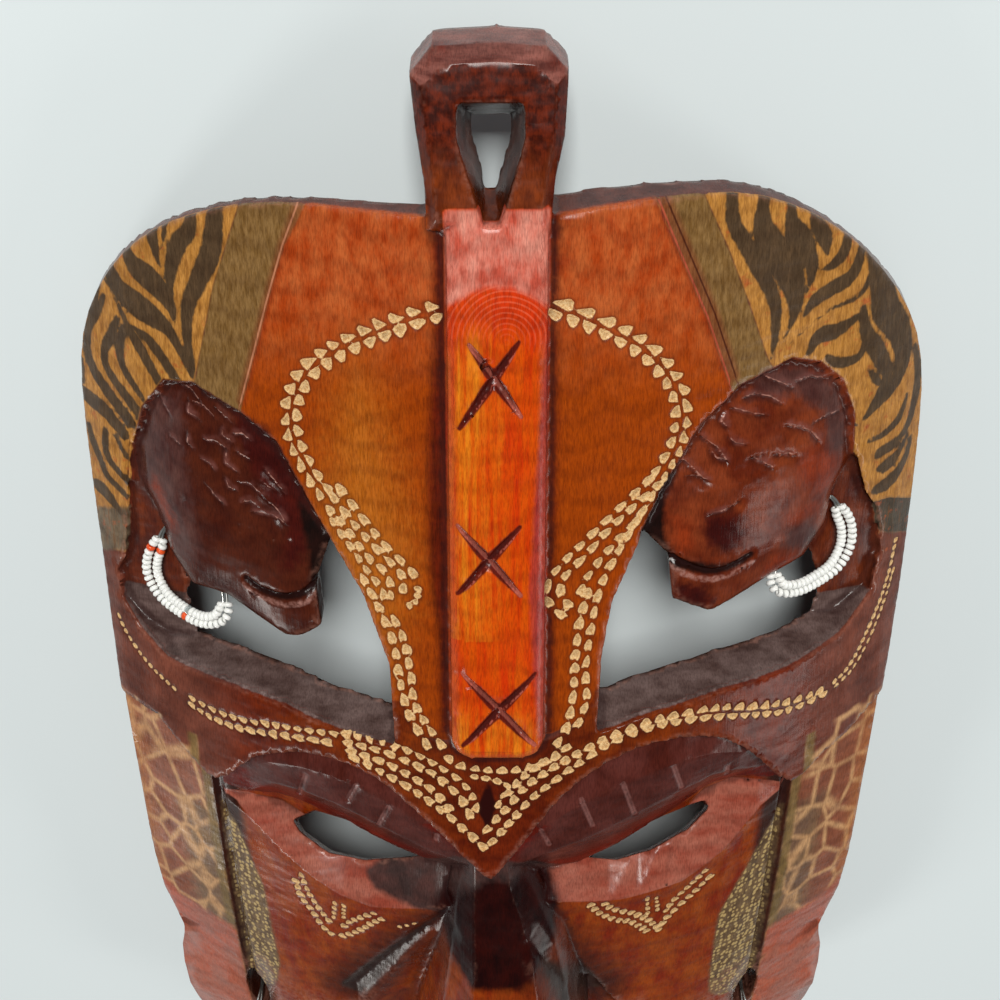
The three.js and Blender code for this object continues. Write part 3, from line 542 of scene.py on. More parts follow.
NICKS: tuple[Line, ...] = (
    ((-63.2, 97.9), (-61.7, 98), (-59.8, 96.8)), ((-62, 95.2), (-62.2, 93.5), (-60.4, 93.2)),
    ((-60.9, 95.8), (-58.6, 95.8), (-56.7, 94.5)), ((-55.6, 95.8), (-54.5, 95.2), (-53.1, 94.5)),
    ((-54.8, 92.7), (-55, 91.6), (-53.2, 90.9)), ((-52.1, 92.4), (-50.7, 92.8), (-49.5, 92.1)),
    ((-58, 89.9), (-56.3, 90.1), (-54.6, 89.5)), ((-62.5, 88.9), (-62.7, 87.7), (-61.8, 87.5)),
    ((-51.4, 89.1), (-50.7, 88.9), (-49.6, 88.5)), ((-54.2, 88.4), (-54.5, 86.7), (-52.6, 85.9)),
    ((-58.9, 85.8), (-57.7, 85.6), (-57.2, 85)), ((-51.1, 83.8), (-49.3, 83.9), (-47, 82.2)),
    ((-46.5, 84.4), (-45.2, 83.6)), ((-54.4, 83.2), (-54, 82), (-53.1, 82)),
    ((-45.8, 86.7), (-44, 84.8), (-43, 83.7)), ((-58.4, 80.8), (-57, 79.6), (-55.6, 78.7)),
    ((-50.7, 80.1), (-49.5, 80.5), (-48.4, 80)), ((-48.4, 78.5), (-45.2, 78.7), (-42.9, 77.4)),
    ((-45.9, 81.1), (-44, 79.9), (-42.9, 78.1)), ((-67.8, 93.1), (-66.7, 91.9)),
    ((-65.9, 87.3), (-64.4, 86.8)), ((50.8, 103.3), (52.8, 102.3), (56.3, 100.4)),
    ((57.9, 101), (60.3, 100.9), (63.3, 99.6)), ((47, 100.7), (48.7, 100.9), (51.8, 99.8), (54.2, 98.1)),
    ((44.5, 99.1), (47.8, 97.8), (50.6, 96.8)), ((42.6, 98.3), (41.9, 97.2), (43, 96.2)),
    ((56.2, 93.5), (58.9, 92.1), (61.1, 90.6), (62.9, 88.3)), ((62.1, 92.1), (63.9, 92.2), (66.9, 91.9)),
    ((38.5, 94.6), (41.3, 92.7), (43.3, 90.1)), ((44, 93.9), (45.1, 92.8), (46.8, 92.4)),
    ((40.3, 91.8), (41.4, 90.5), (43.1, 90)), ((48.9, 89.2), (51.2, 87.8), (53, 86.6)),
    ((49.1, 89.7), (50.5, 89.6)), ((53.7, 88.9), (55.4, 88.3), (57.5, 87.5)),
    ((34.2, 91), (35.3, 90.5), (36.9, 89.1), (38.9, 87.1)), ((36.2, 87.7), (38.1, 87.5), (39.7, 86.8)),
    ((41.1, 80.2), (43.6, 80.4), (45.9, 81.5)),
)
MOUTHS: tuple[Line, ...] = (
    ((-51.3, 63.5), (-48.2, 61.9), (-43.4, 61.5), (-39, 63), (-36.4, 65.7)),
    ((33.6, 71), (39.1, 68.1), (43.7, 67.3), (49.5, 69)),
)
LID_CUTS: tuple[Line, ...] = (
    ((-41.7, 18.8), (-44.3, 8.5)), ((-30.7, 19.7), (-32.9, 13.5)), ((-23.9, 15), (-26.6, 6.8)),
    ((-13.8, 8.3), (-14.1, 6.3)), ((36, 23.7), (38.4, 15)), ((25.3, 21.8), (28.5, 9.6)),
    ((16.6, 18.6), (19.4, 8.8)), ((8.3, 10.5), (10.1, 4.4)), ((48.6, 17.1), (48.9, 12.5)),
)
NASAL_FOLDS: tuple[Line, ...] = (
    ((-12, -22), (-17.3, -28.4), (-25.9, -42.5), (-36.4, -62.2)),
    ((6, -20), (9, -25.9), (14.7, -38.4), (22, -57.3)),
)


# Painted strokes of the two animals' hides: middle of the stroke and half its width at each point

Stroke = tuple[Triple, ...]

STROKES_LEFT: tuple[Stroke, ...] = (
    ((-53, 137, 1.2), (-54, 130, 1.9), (-55, 126, 2), (-58, 120, 1.7), (-60.5, 114.5, 1.4), (-61, 108, 1),
     (-60, 101.5, 0.6)),
    ((-58.5, 133.5, 1), (-59, 129.5, 1.4), (-62, 125.5, 1.7), (-64, 119, 1.1), (-63.5, 115, 0.2)),
    ((-67.5, 128.5, 1.3), (-67.3, 125.5, 1.3), (-66, 120.5, 0.2)),
    ((-64, 130.5, 0.8), (-64.5, 127.5, 0.5), (-65, 124, 0.1)),
    ((-74, 122.5, 0.8), (-72, 119, 2.1), (-68.5, 117.5, 2.6), (-65.5, 115.5, 2), (-64, 113, 1),
     (-63.5, 110.6, 0.1)),
    ((-79, 118, 1.3), (-76.5, 113.5, 2.1), (-72.5, 111.5, 2.7), (-68.5, 110.5, 2.3), (-64.5, 108.4, 1.3),
     (-60.5, 101.5, 0.4)),
    ((-74, 106.6, 0.2), (-71, 106, 0.9), (-68.5, 104.5, 1.2), (-64, 99.5, 1.1)),
    ((-79.5, 113.5, 0.1), (-76.5, 110, 0.4), (-74.5, 106, 0.9), (-72, 103, 1.3), (-68, 97.5, 1)),
    ((-81.5, 112.4, 1), (-83, 108, 1.5), (-84, 104, 0.8)),
    ((-80, 110, 0.5), (-82, 106, 0.8), (-84.5, 102, 0.9), (-85.6, 97, 1), (-85, 94.5, 1.2),
     (-82.5, 91.5, 1.4), (-76, 86.5, 1.5)),
    ((-77, 106.8, 0.6), (-79, 102.5, 1.1), (-81, 98.5, 0.9), (-80.5, 95, 1), (-75, 90.5, 1.3),
     (-73, 88.6, 1.1)),
    ((-75.4, 105.5, 0.8), (-77, 102, 1.2), (-77, 98.5, 0.9), (-75.5, 96, 0.9), (-71.6, 92.2, 0.6)),
    ((-88.5, 87, 1.5), (-85.5, 86.4, 1.7), (-82.5, 86, 1.7), (-78, 83.2, 1.5)),
    ((-87.6, 94, 0.7), (-87.6, 89.5, 0.8)),
    ((-87.2, 80.5, 0.7), (-86, 76.5, 1), (-84.5, 74, 0.9), (-83.4, 71.5, 0.8), (-78.5, 69.5, 0.7)),
    ((-82.5, 81.5, 0.7), (-83, 77.5, 0.9), (-82, 75, 0.8), (-78, 73, 0.9)),
    ((-86.2, 67.6, 1.4), (-84, 67.4, 1.6), (-80.5, 64.8, 0.6)),
    ((-80, 81.5, 0.6), (-77.5, 78, 0.6)),
)

STROKES_RIGHT: tuple[Stroke, ...] = (
    ((42, 141, 1.2), (42, 136.5, 1.5), (43, 133, 1.6), (48, 125, 1.8), (51.5, 118, 1.5), (52, 111, 1),
     (51.4, 107, 0.3)),
    ((48.5, 139, 1.2), (48, 134, 1.8), (49, 130.5, 2.6), (52, 126, 3.1), (54.5, 122, 2.9), (56, 117, 1.9),
     (55, 112.5, 0.7), (53.5, 110, 0.2)),
    ((54, 136.5, 0.9), (54, 132, 1.6), (56, 128, 2.8), (58.5, 124, 1.8), (59, 121, 1.2),
     (58, 117.6, 0.2)),
    ((58, 133.5, 0.5), (59.5, 130, 1.6), (61.5, 127, 1.8), (62, 124, 0.5)),
    ((66.5, 128.4, 1), (66, 124, 1.5), (64, 122, 1.4), (61, 121.4, 0.4)),
    ((70, 124.6, 0.9), (69, 120, 1.5), (67, 118, 1.7), (60.5, 116.4, 1.6), (58, 114, 0.7)),
    ((72.5, 117.4, 1), (70, 114, 0.8), (62.5, 113, 0.5), (53.5, 108.4, 0.2)),
    ((72, 121.6, 1.2), (75, 114.5, 2.9), (76.5, 109, 3.3), (80.5, 103, 2.8), (82, 97, 2.3), (80, 92, 1.8),
     (73.5, 88.4, 0.8)),
    ((71, 111, 1), (72, 106.5, 1.6), (74.5, 102.5, 2), (77, 98, 1.9), (78.3, 94.5, 1.5), (74, 88.8, 0.8)),
    ((59.3, 106.2, 0.8), (61.5, 109, 1.8), (65.5, 108.7, 1.7), (71, 110.2, 0.7)),
    ((63.6, 104, 1), (67, 102, 1.3), (70.5, 101.6, 1.1), (72, 103, 1), (71.5, 107, 0.6)),
    ((85, 98, 0.8), (86.6, 91.5, 1.2), (86, 84.5, 1.2), (84, 80.3, 1), (79.5, 79.5, 0.8)),
    ((84, 88.4, 0.6), (82.5, 84.3, 1.1), (79, 82.6, 1), (75, 83, 0.6)),
    ((73.3, 98.4, 0.4), (75.5, 95.5, 1.1), (77, 93.3, 0.4)),
    ((78, 79, 1.4), (81, 79, 1.4), (83, 78.6, 0.6)),
    ((78.3, 75.6, 1), (81, 75.3, 1.8), (83.5, 77, 1), (85, 79.5, 0.8)),
    ((77.5, 71.4, 1), (80, 71, 1.7), (82.5, 71.6, 1.7), (85, 74, 1.1), (86.2, 78, 0.8)),
)

STRAP_STROKES = (
    ((-6, 117.5), (3.5, 104.5)), ((3, 118), (-8, 102)), ((-8.4, 83.5), (3.6, 69.8)),
    ((3.4, 83.6), (-8.6, 69.8)), ((-7.8, 53.4), (6.6, 37.4)), ((6.5, 53.2), (-7.9, 37.4)),
)

# Outlines of the painted and carved fields

FIELDS: dict[str, tuple[Line, ...]] = {
    "panel": (
        ((-34, 143), (-35.8, 137.9), (-40.1, 130), (-43.5, 119.9), (-46.6, 109.9), (-50.4, 98.2),
         (-52, 90), (-42, 66), (-20, 37), (-12, 36.4), (10, 38), (17, 41), (36, 66), (52, 90), (47, 98),
         (43.1, 104.4), (37.9, 117.7), (33.1, 128.1), (27.4, 139.8), (26, 144)),
    ),
    "olive": (
        ((-47.6, 140), (-48.5, 136.2), (-54.7, 120.2), (-58.9, 104.7), (-61, 97), (-50.2, 97),
         (-46.6, 109.9), (-43.5, 119.9), (-40.1, 130), (-35.8, 137.9), (-34.8, 141)),
        ((27.2, 142), (33.1, 128.1), (37.9, 117.7), (43.1, 104.4), (47, 98), (55, 100), (50.6, 107.9),
         (46.3, 118.9), (41.8, 129.3), (36.9, 139.2), (36, 142)),
    ),
    "patch": (
        ((-94, 57.5), (-91, 60.5), (-86, 63), (-78.7, 66.9), (-74, 66), (-75, 58), (-81.4, 56),
         (-86.5, 53), (-94, 51)),
        ((95, 60), (88.4, 63.5), (82, 67.4), (75.5, 69.4), (72, 68), (72, 63), (80.1, 61), (87.5, 56.6),
         (95, 55)),
    ),
    "brow": (
        ((-95, 60), (-86.5, 53), (-81.4, 56), (-77, 56), (-70, 44), (-20, 44), (-17.5, 37), (-12, 35.4),
         (10, 36.6), (16, 39.5), (19, 47), (70, 47), (77, 61), (80.1, 61), (87.5, 56.6), (95, 60),
         (95, -8), (-95, -8)),
    ),
    "diamond": (
        ((-2.8, 27.6), (-5.3, 21), (-3, 15.4), (-0.9, 21.6)),
    ),
    "head": (
        ((-67, 98.5), (-60.5, 100.2), (-51, 97.5), (-43.5, 93.4), (-38.7, 85), (-33.3, 76), (-36.5, 66.8),
         (-37.2, 63), (-36.4, 55.5), (-41.4, 52), (-44.2, 51.6), (-50, 54), (-56, 56.3), (-64.7, 55.5),
         (-69, 60.5), (-71.5, 68), (-75.2, 74), (-75.4, 82), (-72.5, 91)),
        ((62, 103.8), (56, 106.3), (46, 104), (37.7, 98), (31.6, 88), (26.8, 78.4), (32.8, 71.4),
         (33.2, 68), (34, 62), (42, 57.3), (47, 58.8), (54, 61), (62, 62.5), (66.5, 68), (67.9, 74.6),
         (71.4, 80), (71, 90), (67.5, 98.5)),
    ),
    # Painted sheen on the heads.
    "head_painted_sheen": (
        ((-69.4, 93.8), (-63.7, 96.2), (-63, 89.7), (-63.2, 83.6), (-62.3, 76.2), (-60.7, 66.1),
         (-65.2, 62), (-69.6, 62), (-74.5, 70.8), (-75.5, 77.1), (-72, 88)),
        ((57.7, 72.4), (61, 72.7), (63.3, 71.9), (65, 67.1), (66.7, 62.6), (62.1, 65), (58.9, 66.6),
         (55.8, 68.6)),
        ((50, 105), (58, 104), (66, 98), (69.5, 90), (70, 82), (66, 84), (64, 93), (57, 99), (47, 100.5)),
    ),
    "head_orange": (
        ((-70.9, 76.9), (-69.3, 74), (-66.9, 69.3), (-67.7, 66.6), (-70.2, 70.7), (-72.1, 74.1)),
        ((59.7, 87.2), (63.2, 86.8), (68, 81.5), (68, 78), (65.3, 76.5), (60.3, 80), (58.7, 84.1)),
        ((55.1, 67.6), (64, 62.5), (62.1, 59.2), (56.6, 58.4), (51.5, 59)),
        ((57.1, 74.6), (62.2, 75.2), (64.5, 73), (58.9, 72.9)),
        ((33, 80), (37, 79), (37.5, 73), (35, 72)),
    ),
    "head_maroon": (
        ((-52.6, 96.8), (-45.5, 95.6), (-38.5, 84.3), (-38.1, 73.6), (-42, 67.1), (-43.9, 68),
         (-42.1, 76.8), (-46.7, 82.4), (-50.5, 89.4)),
        ((39.7, 80.2), (46.8, 78.8), (48.7, 74.3), (46.5, 71), (40.8, 72.5), (39, 76.8)),
        ((33.9, 66.8), (33.7, 59.9), (40, 57), (43, 60), (40.3, 64.5)),
    ),
    # Painted shadow along the dark rims of the heads.
    "head_painted_shadow": (
        ((-40.1, 82.8), (-33, 75), (-33, 70.5), (-35.8, 63), (-38.2, 63), (-38.1, 72.4), (-39.2, 77.6)),
        ((34, 89.7), (31.2, 90), (26.5, 78), (33, 68.6), (49.4, 67.8), (34.1, 70.9), (31.6, 76.3),
         (31.4, 84)),
    ),
    "opening": (
        ((-66, 92), (-73.5, 88), (-76.5, 82), (-79.2, 64.4), (-83, 49), (-82.5, 42.5), (-77.5, 34.6),
         (-72, 32.9), (-56, 36.6), (-44.7, 37.7), (-38, 36.7), (-21.8, 35.7), (-22.7, 52.4),
         (-27.3, 65.9), (-33, 75.6), (-38.3, 84.5), (-48, 90)),
        ((60, 96), (69, 91), (72.7, 80.5), (75.5, 72), (79.1, 66.5), (82, 51.1), (79.2, 41.9),
         (72.1, 38.1), (60, 38.3), (44.8, 40.8), (29.4, 40.8), (18.7, 39), (19.8, 54), (21.5, 65),
         (26.9, 77.8), (33, 88), (45, 96)),
    ),
    "strap": (
        ((-10, 140.5), (-10, 37.5), (-8.8, 35), (-6, 34), (4.2, 34), (7, 35), (8.2, 37.5), (8.2, 140.5)),
    ),
    "wedge": (
        ((-64.5, -3), (-60.7, -9.7), (-56, -29.3), (-55, -62.7), (-58, -76), (-64.5, -76)),
        ((64.5, -5), (61.1, -12), (51.4, -37.4), (51.6, -71.9), (56, -78), (64.5, -78)),
    ),
    "lid": (
        ((-64, 4), (-59, 14), (-53, 22), (-44, 27.4), (-35, 28.4), (-26, 26), (-18.5, 20), (-10, 11.5),
         (-3.4, 3.8), (-3.4, -9), (-15, -7.5), (-26, -3), (-35, 1.5), (-46, 4.5), (-57, 3.5)),
        ((-1.8, 3.8), (4, 12), (10, 20.8), (17.5, 28), (27, 32.5), (37, 32.8), (46, 30), (54, 22.5),
         (61, 14), (65, 5), (57, 8), (47, 9.5), (36, 3), (26, -3.5), (15, -9), (-1.8, -9)),
    ),
    "nose": (
        ((-3, -5), (-11, -13), (-15.5, -18), (-13.9, -25.7), (-7.2, -30), (4.1, -30), (11.9, -23.6),
         (13, -16), (10, -10), (4, -6)),
    ),
    "inner_lid": (
        ((-10.5, 1), (-17, -7), (-27, -12.6), (-31, -15.6), (-29, -18.5), (-19, -20), (-1, -20), (-1, 1)),
        ((-1, 1), (6, -2), (13, -8.6), (9, -12.6), (6, -20), (-1, -20)),
    ),
    "under_lid": (
        ((-63, 0.5), (-57, 1.5), (-47, -3.5), (-39, -10), (-31, -12), (-19, -11), (-3, -10.5), (-3, -14),
         (-18, -19.5), (-30, -22), (-38, -20), (-45, -15.5), (-53, -8), (-60, -0.5)),
        ((-1.5, -10.5), (17, -11), (26, -12), (34, -8.5), (42, -2), (47, 5.5), (57, 5.5), (64, 2),
         (58, -1), (50, -11.5), (41, -17.5), (27, -18.5), (12, -16), (-1.5, -14)),
    ),
}

SCRIBED: dict[str, Line] = {
    "scribe_left": ((-36.6, 139.5), (-40.6, 130), (-44, 119.9), (-47.1, 109.9), (-50.4, 99.5)),
    "scribe_right": ((27.9, 140.5), (33.5, 128.3), (38.3, 117.9), (43.3, 105)),
    "scribe_outer": ((29.2, 140.8), (34.8, 128.8), (39.6, 118.4), (44.4, 105.8)),
}


# Paths of the earrings: plan points and how deep below the front each lies

LEFT_EARRING = (
    (-72.3, 60.4, 3), (-73.8, 57, 2), (-74.1, 53.4, 2), (-72, 50.2, 2), (-67.5, 48.7, 2), (-62, 48.8, 2),
    (-58.6, 50.3, 3), (-57.6, 53.2, 4.8), (-59, 57.4, 5.5), (-62, 61.6, 5.5), (-66.4, 64.6, 5),
    (-70.4, 63.8, 4.8))
RIGHT_EARRING = (
    (70.3, 68.4, 3), (71.8, 65.2, 2), (72, 61, 2), (69.8, 57.7, 2), (65.4, 56.5, 2), (60.6, 56.5, 2),
    (57.2, 57.4, 3), (55.9, 60, 4.8), (57, 64.2, 5.5), (60, 68.4, 5.5), (64, 71.6, 5), (68, 71.6, 4.8))

# Outline of the loop's hole, and (place, value) steps along the strap and across the lobes

LOOP_HOLE = ((-5.4, 156.4), (2.8, 156.4), (-0.6, 142.4), (-2, 142.4))
# Half widths of the painted shadow down the left of the strap, by place along it.
STRAP_SHADOW_HALF = ((40, 1.2), (60, 1.6), (75, 3.2), (100, 2.8), (120, 1.4))
STRAP_WALL = ((34, 7.9), (50, 6.4), (70, 5.2), (90, 6.2), (112, 7.6), (130, 8.6))
LOBE_TOP = ((60, -54), (69, -52.5), (80, -50), (88, -42))


# Finishes


def add_node(
    tree: bpy.types.NodeTree, kind: str, into: Inputs | None = None, **settings: object
) -> bpy.types.Node:
    """Add a shader node with its settings and links.

    Args:
        tree: The node tree.
        kind: Blender's class name of the node.
        into: Values or sockets for its inputs, by name or number.
        **settings: Values set on the node itself.

    Returns:
        The node.
    """
    made = tree.nodes.new(kind)
    for key, value in settings.items():
        setattr(made, key, value)
    for key, value in (into or {}).items():
        if isinstance(value, Socket):
            tree.links.new(value, made.inputs[key])
        else:
            made.inputs[key].default_value = value
    return made


class Layers:
    """A material whose colour is laid on in layers, one over another."""

    def __init__(self, name: str) -> None:
        """Start an empty material.

        Args:
            name: What the real material is.
        """
        self.material = bpy.data.materials.new(name)
        self.material.use_nodes = True
        self.tree = self.material.node_tree
        self.tree.nodes.clear()
        self.colour: Socket | None = None

    def node(self, kind: str, into: Inputs | None = None, **settings: object) -> bpy.types.Node:
        """Add a node to the tree of this material."""
        return add_node(self.tree, kind, into, **settings)

    def place(self, size: Triple) -> Socket:
        """Measure object coordinates in patches of a real size.

        Args:
            size: Size of a patch along X, Y and Z in millimetres.

        Returns:
            The place as a vector.
        """
        spot = self.node("ShaderNodeTexCoord").outputs["Object"]
        scale = tuple(1000 / s for s in size)
        return self.node("ShaderNodeMapping", {"Vector": spot, "Scale": scale}).outputs[0]

    def spread(self, value: Socket, low: float, high: float, curve: str = "SMOOTHSTEP") -> Socket:
        """Stretch a value so that one level of it becomes 0 and another becomes 1.

        Args:
            value: The value.
            low: The level that becomes 0.
            high: The level that becomes 1.
            curve: How it goes from the one to the other.

        Returns:
            The stretched value.
        """
        into = {"Value": value, "From Min": low, "From Max": high}
        return self.node("ShaderNodeMapRange", into, interpolation_type=curve).outputs[0]

    def noise(self, size: Triple, low: float, high: float, detail: float = 3.0) -> Socket:
        """Noise with patches of a real size, stretched between two levels to run from 0 to 1.

        Args:
            size: Size of a patch in millimetres.
            low: The level that becomes 0.
            high: The level that becomes 1.
            detail: How many finer rounds it has.

        Returns:
            The noise.
        """
        raw = self.node("ShaderNodeTexNoise", {
            "Vector": self.place(size), "Scale": 1.0, "Detail": detail, "Roughness": 0.6})
        return self.spread(raw.outputs["Fac"], low, high, "LINEAR")

    def cells(self, size: Triple, random: float, feature: str = "F1") -> Socket:
        """Distances within scattered cells.

        Args:
            size: Size of a cell in millimetres.
            random: How far the cells are scattered, from 0 to 1.
            feature: What the distance is taken from.

        Returns:
            The distance.
        """
        into = {"Vector": self.place(size), "Scale": 1.0, "Randomness": random}
        return self.node("ShaderNodeTexVoronoi", into, feature=feature).outputs["Distance"]

    def reach(self, attribute: str, low: float, high: float, wobble: float = 0.0) -> Socket:
        """How far a place is inside a field.

        Args:
            attribute: The field's attribute, a distance in millimetres.
            low: The distance that gives 0.
            high: The distance that gives 1.
            wobble: How far the edge wanders, in millimetres.

        Returns:
            A share from 0 to 1.
        """
        value = self.node("ShaderNodeAttribute", attribute_name=attribute).outputs["Fac"]
        if wobble:
            rough = self.node("ShaderNodeTexNoise", {
                "Vector": self.place((1.6, 1.6, 1.6)), "Scale": 1.0, "Detail": 2.0})
            shift = self.node("ShaderNodeMath", {0: rough.outputs["Fac"], 1: 0.5}, operation="SUBTRACT")
            into = {0: shift.outputs[0], 1: 2 * wobble, 2: value}
            value = self.node("ShaderNodeMath", into, operation="MULTIPLY_ADD").outputs[0]
        return self.spread(value, low, high)

    def times(self, one: Socket, other: Socket | float) -> Socket:
        """One value times another."""
        return self.node("ShaderNodeMath", {0: one, 1: other}, operation="MULTIPLY").outputs[0]

    def mix(self, below: Ink, above: Ink, share: Socket, blend: str = "MIX") -> Socket:
        """Lay one colour over another.

        Args:
            below: The lower colour.
            above: The upper colour.
            share: How much of the upper one shows.
            blend: How the two are blended.

        Returns:
            The mixed colour.
        """
        low, high = (linear(ink) if isinstance(ink, str) else ink for ink in (below, above))
        into = {0: share, 6: low, 7: high}
        return self.node("ShaderNodeMix", into, data_type="RGBA", blend_type=blend).outputs[2]

    def pair(self, main: str, second: str, size: Triple, low: float, high: float) -> Socket:
        """Two shades of one paint, in patches of a real size."""
        return self.mix(main, second, self.noise(size, low, high))

    def lay(self, ink: Ink, share: Socket, strength: float = 1.0, blend: str = "MIX") -> None:
        """Lay an ink over the colours so far.

        Args:
            ink: The ink.
            share: Where it goes.
            strength: How much of it shows there.
            blend: How it is blended.
        """
        if strength < 1:
            share = self.times(share, strength)
        self.colour = self.mix(self.colour, ink, share, blend)

    def mark(self, ink: str, strength: float, edge: Edge, patches: Patches | None = None) -> None:
        """Lay an ink along a carved mark.

        Args:
            ink: The ink.
            strength: How much of it shows.
            edge: The mark's attribute, its two distances and its wobble.
            patches: Noise that breaks the ink up.
        """
        share = self.reach(*edge)
        if patches:
            share = self.times(share, self.noise(*patches))
        self.lay(ink, share, strength)

    def surface(self, into: Inputs) -> bpy.types.Material:
        """Finish the material with its surface.

        Args:
            into: Values and sockets of the shader, by name.

        Returns:
            The material.
        """
        shader = self.node("ShaderNodeBsdfPrincipled", into)
        out = self.node("ShaderNodeOutputMaterial")
        self.tree.links.new(shader.outputs[0], out.inputs["Surface"])
        return self.material


@dataclass(frozen=True)
class Field:
    """A painted field: the attribute that bounds it, its colours and the texture that mixes them."""

    attribute: str
    main: str
    second: str
    patch_mm: Triple
    soft: float = 0.25
    wobble: float = 0.25
    contrast: tuple[float, float] = (0.35, 0.65)


@dataclass(frozen=True)
class PaintedWood:
    """Soft wood, stained and painted by brush, then lacquered.

    The eye gets warm translucent colour with fine fibres along the carving, painted shade in
    the hollows, edges painted paler, partly rubbed bare and partly painted highlight, and an even satin
    shine.
    """

    name: str = "lacquered_painted_softwood"
    ground: tuple[str, str] = ("#45211c", "#6b3a30")
    roughness: float = 0.22
    bare_roughness: float = 0.75
    gloss: float = 0.15
    coat: float = 0.05
    coat_roughness: float = 0.14
    ring_heart: float = 118.0
    scribe_inks: tuple[str, ...] = ("#c08060", "#b4503a", "#3c120a")
    fields: tuple[Field, ...] = (
        Field("face", "#802404", "#9a440c", (3.5, 9, 6)),
        # Painted shade on the cheeks beside the nasal folds, and painted shadow in the folds.
        Field("face_painted_shade", "#481808", "#5e240c", (4, 8, 6), 5.0, 2.0),
        Field("fold", "#281610", "#40302a", (3, 9, 6), 0.9, 0.5),
        # The ears' pinkish brown is partly their paint and partly painted sheen.
        Field("ear", "#96583f", "#7c452f", (8, 12, 8)),
        Field("ear_left", "#86684a", "#735440", (8, 12, 8), 3.0, 2.0),
        # Painted shade down the deep groove beside each ear.
        Field("groove", "#2c1008", "#3e1a0c", (3, 12, 6), 1.6, 0.4),
        Field("gold", "#c48a44", "#a67030", (0.9, 3.2, 3)),
        Field("olive", "#88683e", "#6f5028", (0.7, 2.6, 3)),
        Field("panel", "#a44404", "#863202", (0.5, 3.4, 3), contrast=(0.25, 0.8)),
        Field("panel_gold", "#b8661e", "#a0540e", (0.5, 4, 3), 8.0, 4.0),
        # Painted sheen, paler and pinker towards the top of the panel.
        Field("panel_top_sheen", "#b85c2c", "#a23c10", (2.6, 6, 5), 9.0, 3.0),
        Field("recess", "#6e3018", "#4a1c12", (3, 9, 6)),
        Field("brow", "#702406", "#4e1203", (6, 5, 5)),
        Field("brow_warm", "#7e3208", "#5a1c04", (6, 5, 5), 9.0, 3.0),
        # The mauve at the ends of the brow band is painted sheen.
        Field("brow_ends", "#7c4434", "#5e3024", (14, 10, 8), 9.0),
        Field("patch", "#786650", "#5a4c3c", (4, 4, 4), 0.6, 0.5),
        Field("patch_right", "#524638", "#3e362c", (4, 4, 4), 0.6, 0.5),
        # The ledges' mauve-grey is painted sheen on faces turned towards the light, lighter still at their
        # low edge.
        Field("ledge", "#4a3733", "#6c5854", (7, 2.2, 4)),
        Field("ledge_low_sheen", "#86706c", "#5a4642", (2, 1.2, 2), 0.3, 0.5),
        Field("wedge", "#7e6444", "#5c442e", (2, 4, 3), 0.7, 0.5),
        Field("lid", "#481a12", "#5c2c26", (6, 10, 6)),
        Field("lid_glow", "#6c1203", "#581408", (8, 3, 6), 2.2),
        # The lower lids' pink is painted sheen.
        Field("under_lid", "#8e4030", "#a4604f", (9, 4, 6)),
        Field("inner_lid", "#513430", "#3c2c2a", (5, 4, 6), 0.8, 0.4),
        Field("nose", "#180202", "#2c0603", (4, 8, 6), 1.4, 0.6),
        # Painted light on the lit lower part of the nose.
        Field("nose_tip", "#641e06", "#7e300a", (3, 5, 4), 2.0, 1.0),
        Field("left_head", "#502010", "#3e140a", (7, 9, 6)),
        Field("right_head", "#80371a", "#5c1e0a", (7, 9, 6)),
        # Painted sheen on the heads, among their orange and maroon stain.
        Field("head_painted_sheen", "#5c3a34", "#472420", (5, 8, 6), 1.6, 1.6),
        Field("head_orange", "#8a3212", "#6c240c", (4, 6, 6), 1.8, 1.6),
        Field("head_maroon", "#360a07", "#4a120a", (5, 6, 6), 1.8, 1.6),
        # Painted shadow along the rims of the heads.
        Field("head_painted_shadow", "#140806", "#200c08", (4, 4, 4), 0.8, 0.6),
        Field("loop", "#64200a", "#3a0e04", (1.6, 2.2, 2), contrast=(0.38, 0.6)),
        Field("loop_low", "#7c3410", "#5a220a", (2.4, 6, 4), 5.0, 2.0),
        # Painted sheen on the loop's facets that turn up towards the light.
        Field("loop_bevel_sheen", "#8e564c", "#5c302a", (9, 1.6, 4), 0.6, 0.3),
        Field("loop_hole", "#5e2c18", "#3c1a0e", (2, 8, 4), 0.5, 0.3),
        # Painted shadow beside the strap.
        Field("strap_painted_shadow", "#661a06", "#420e04", (1.0, 12, 6), 1.5, 0.5),
        Field("strap", "#c43202", "#cc5004", (1.6, 30, 6)),
    )

    def dress(self) -> bpy.types.Material:
        """Build the material.

        Returns:
            The painted wood.
        """
        paint = Layers(self.name)
        paint.colour = paint.pair(*self.ground, (5, 5, 5), 0.35, 0.7)
        for field in self.fields:
            own = paint.pair(field.main, field.second, field.patch_mm, *field.contrast)
            paint.lay(own, paint.reach(field.attribute, -field.soft, field.soft, field.wobble))
        for layer in (self.hides, self.strap_glow, self.scribed_lines, self.fibres, self.carved_marks):
            layer(paint)
        chips = paint.reach("chip", -0.1, 0.08, 0.12)
        paint.mark("#3a1a0c", 0.45, ("chip", -0.6, -0.1))
        paint.lay(paint.pair("#e6c18c", "#c08a50", (0.45, 0.45, 0.45), 0.42, 0.68), chips)
        # Painted shade darkens the hollows; next, the edges are painted paler, partly as rubbed bare wood and
        # partly as painted highlight.
        paint.mark("#241010", 0.5, ("hollow", 0.02, 0.22))
        paint.mark("#b07a68", 0.3, ("hollow", -0.14, -0.4), ((1.2, 1.2, 1.2), 0.35, 0.65))
        return paint.surface({
            "Base Color": paint.colour, "IOR": 1.5, "Specular IOR Level": self.gloss,
            "Coat Weight": self.coat, "Coat Roughness": self.coat_roughness,
            "Roughness": self.shine(paint, chips), "Normal": self.relief(paint, chips)})

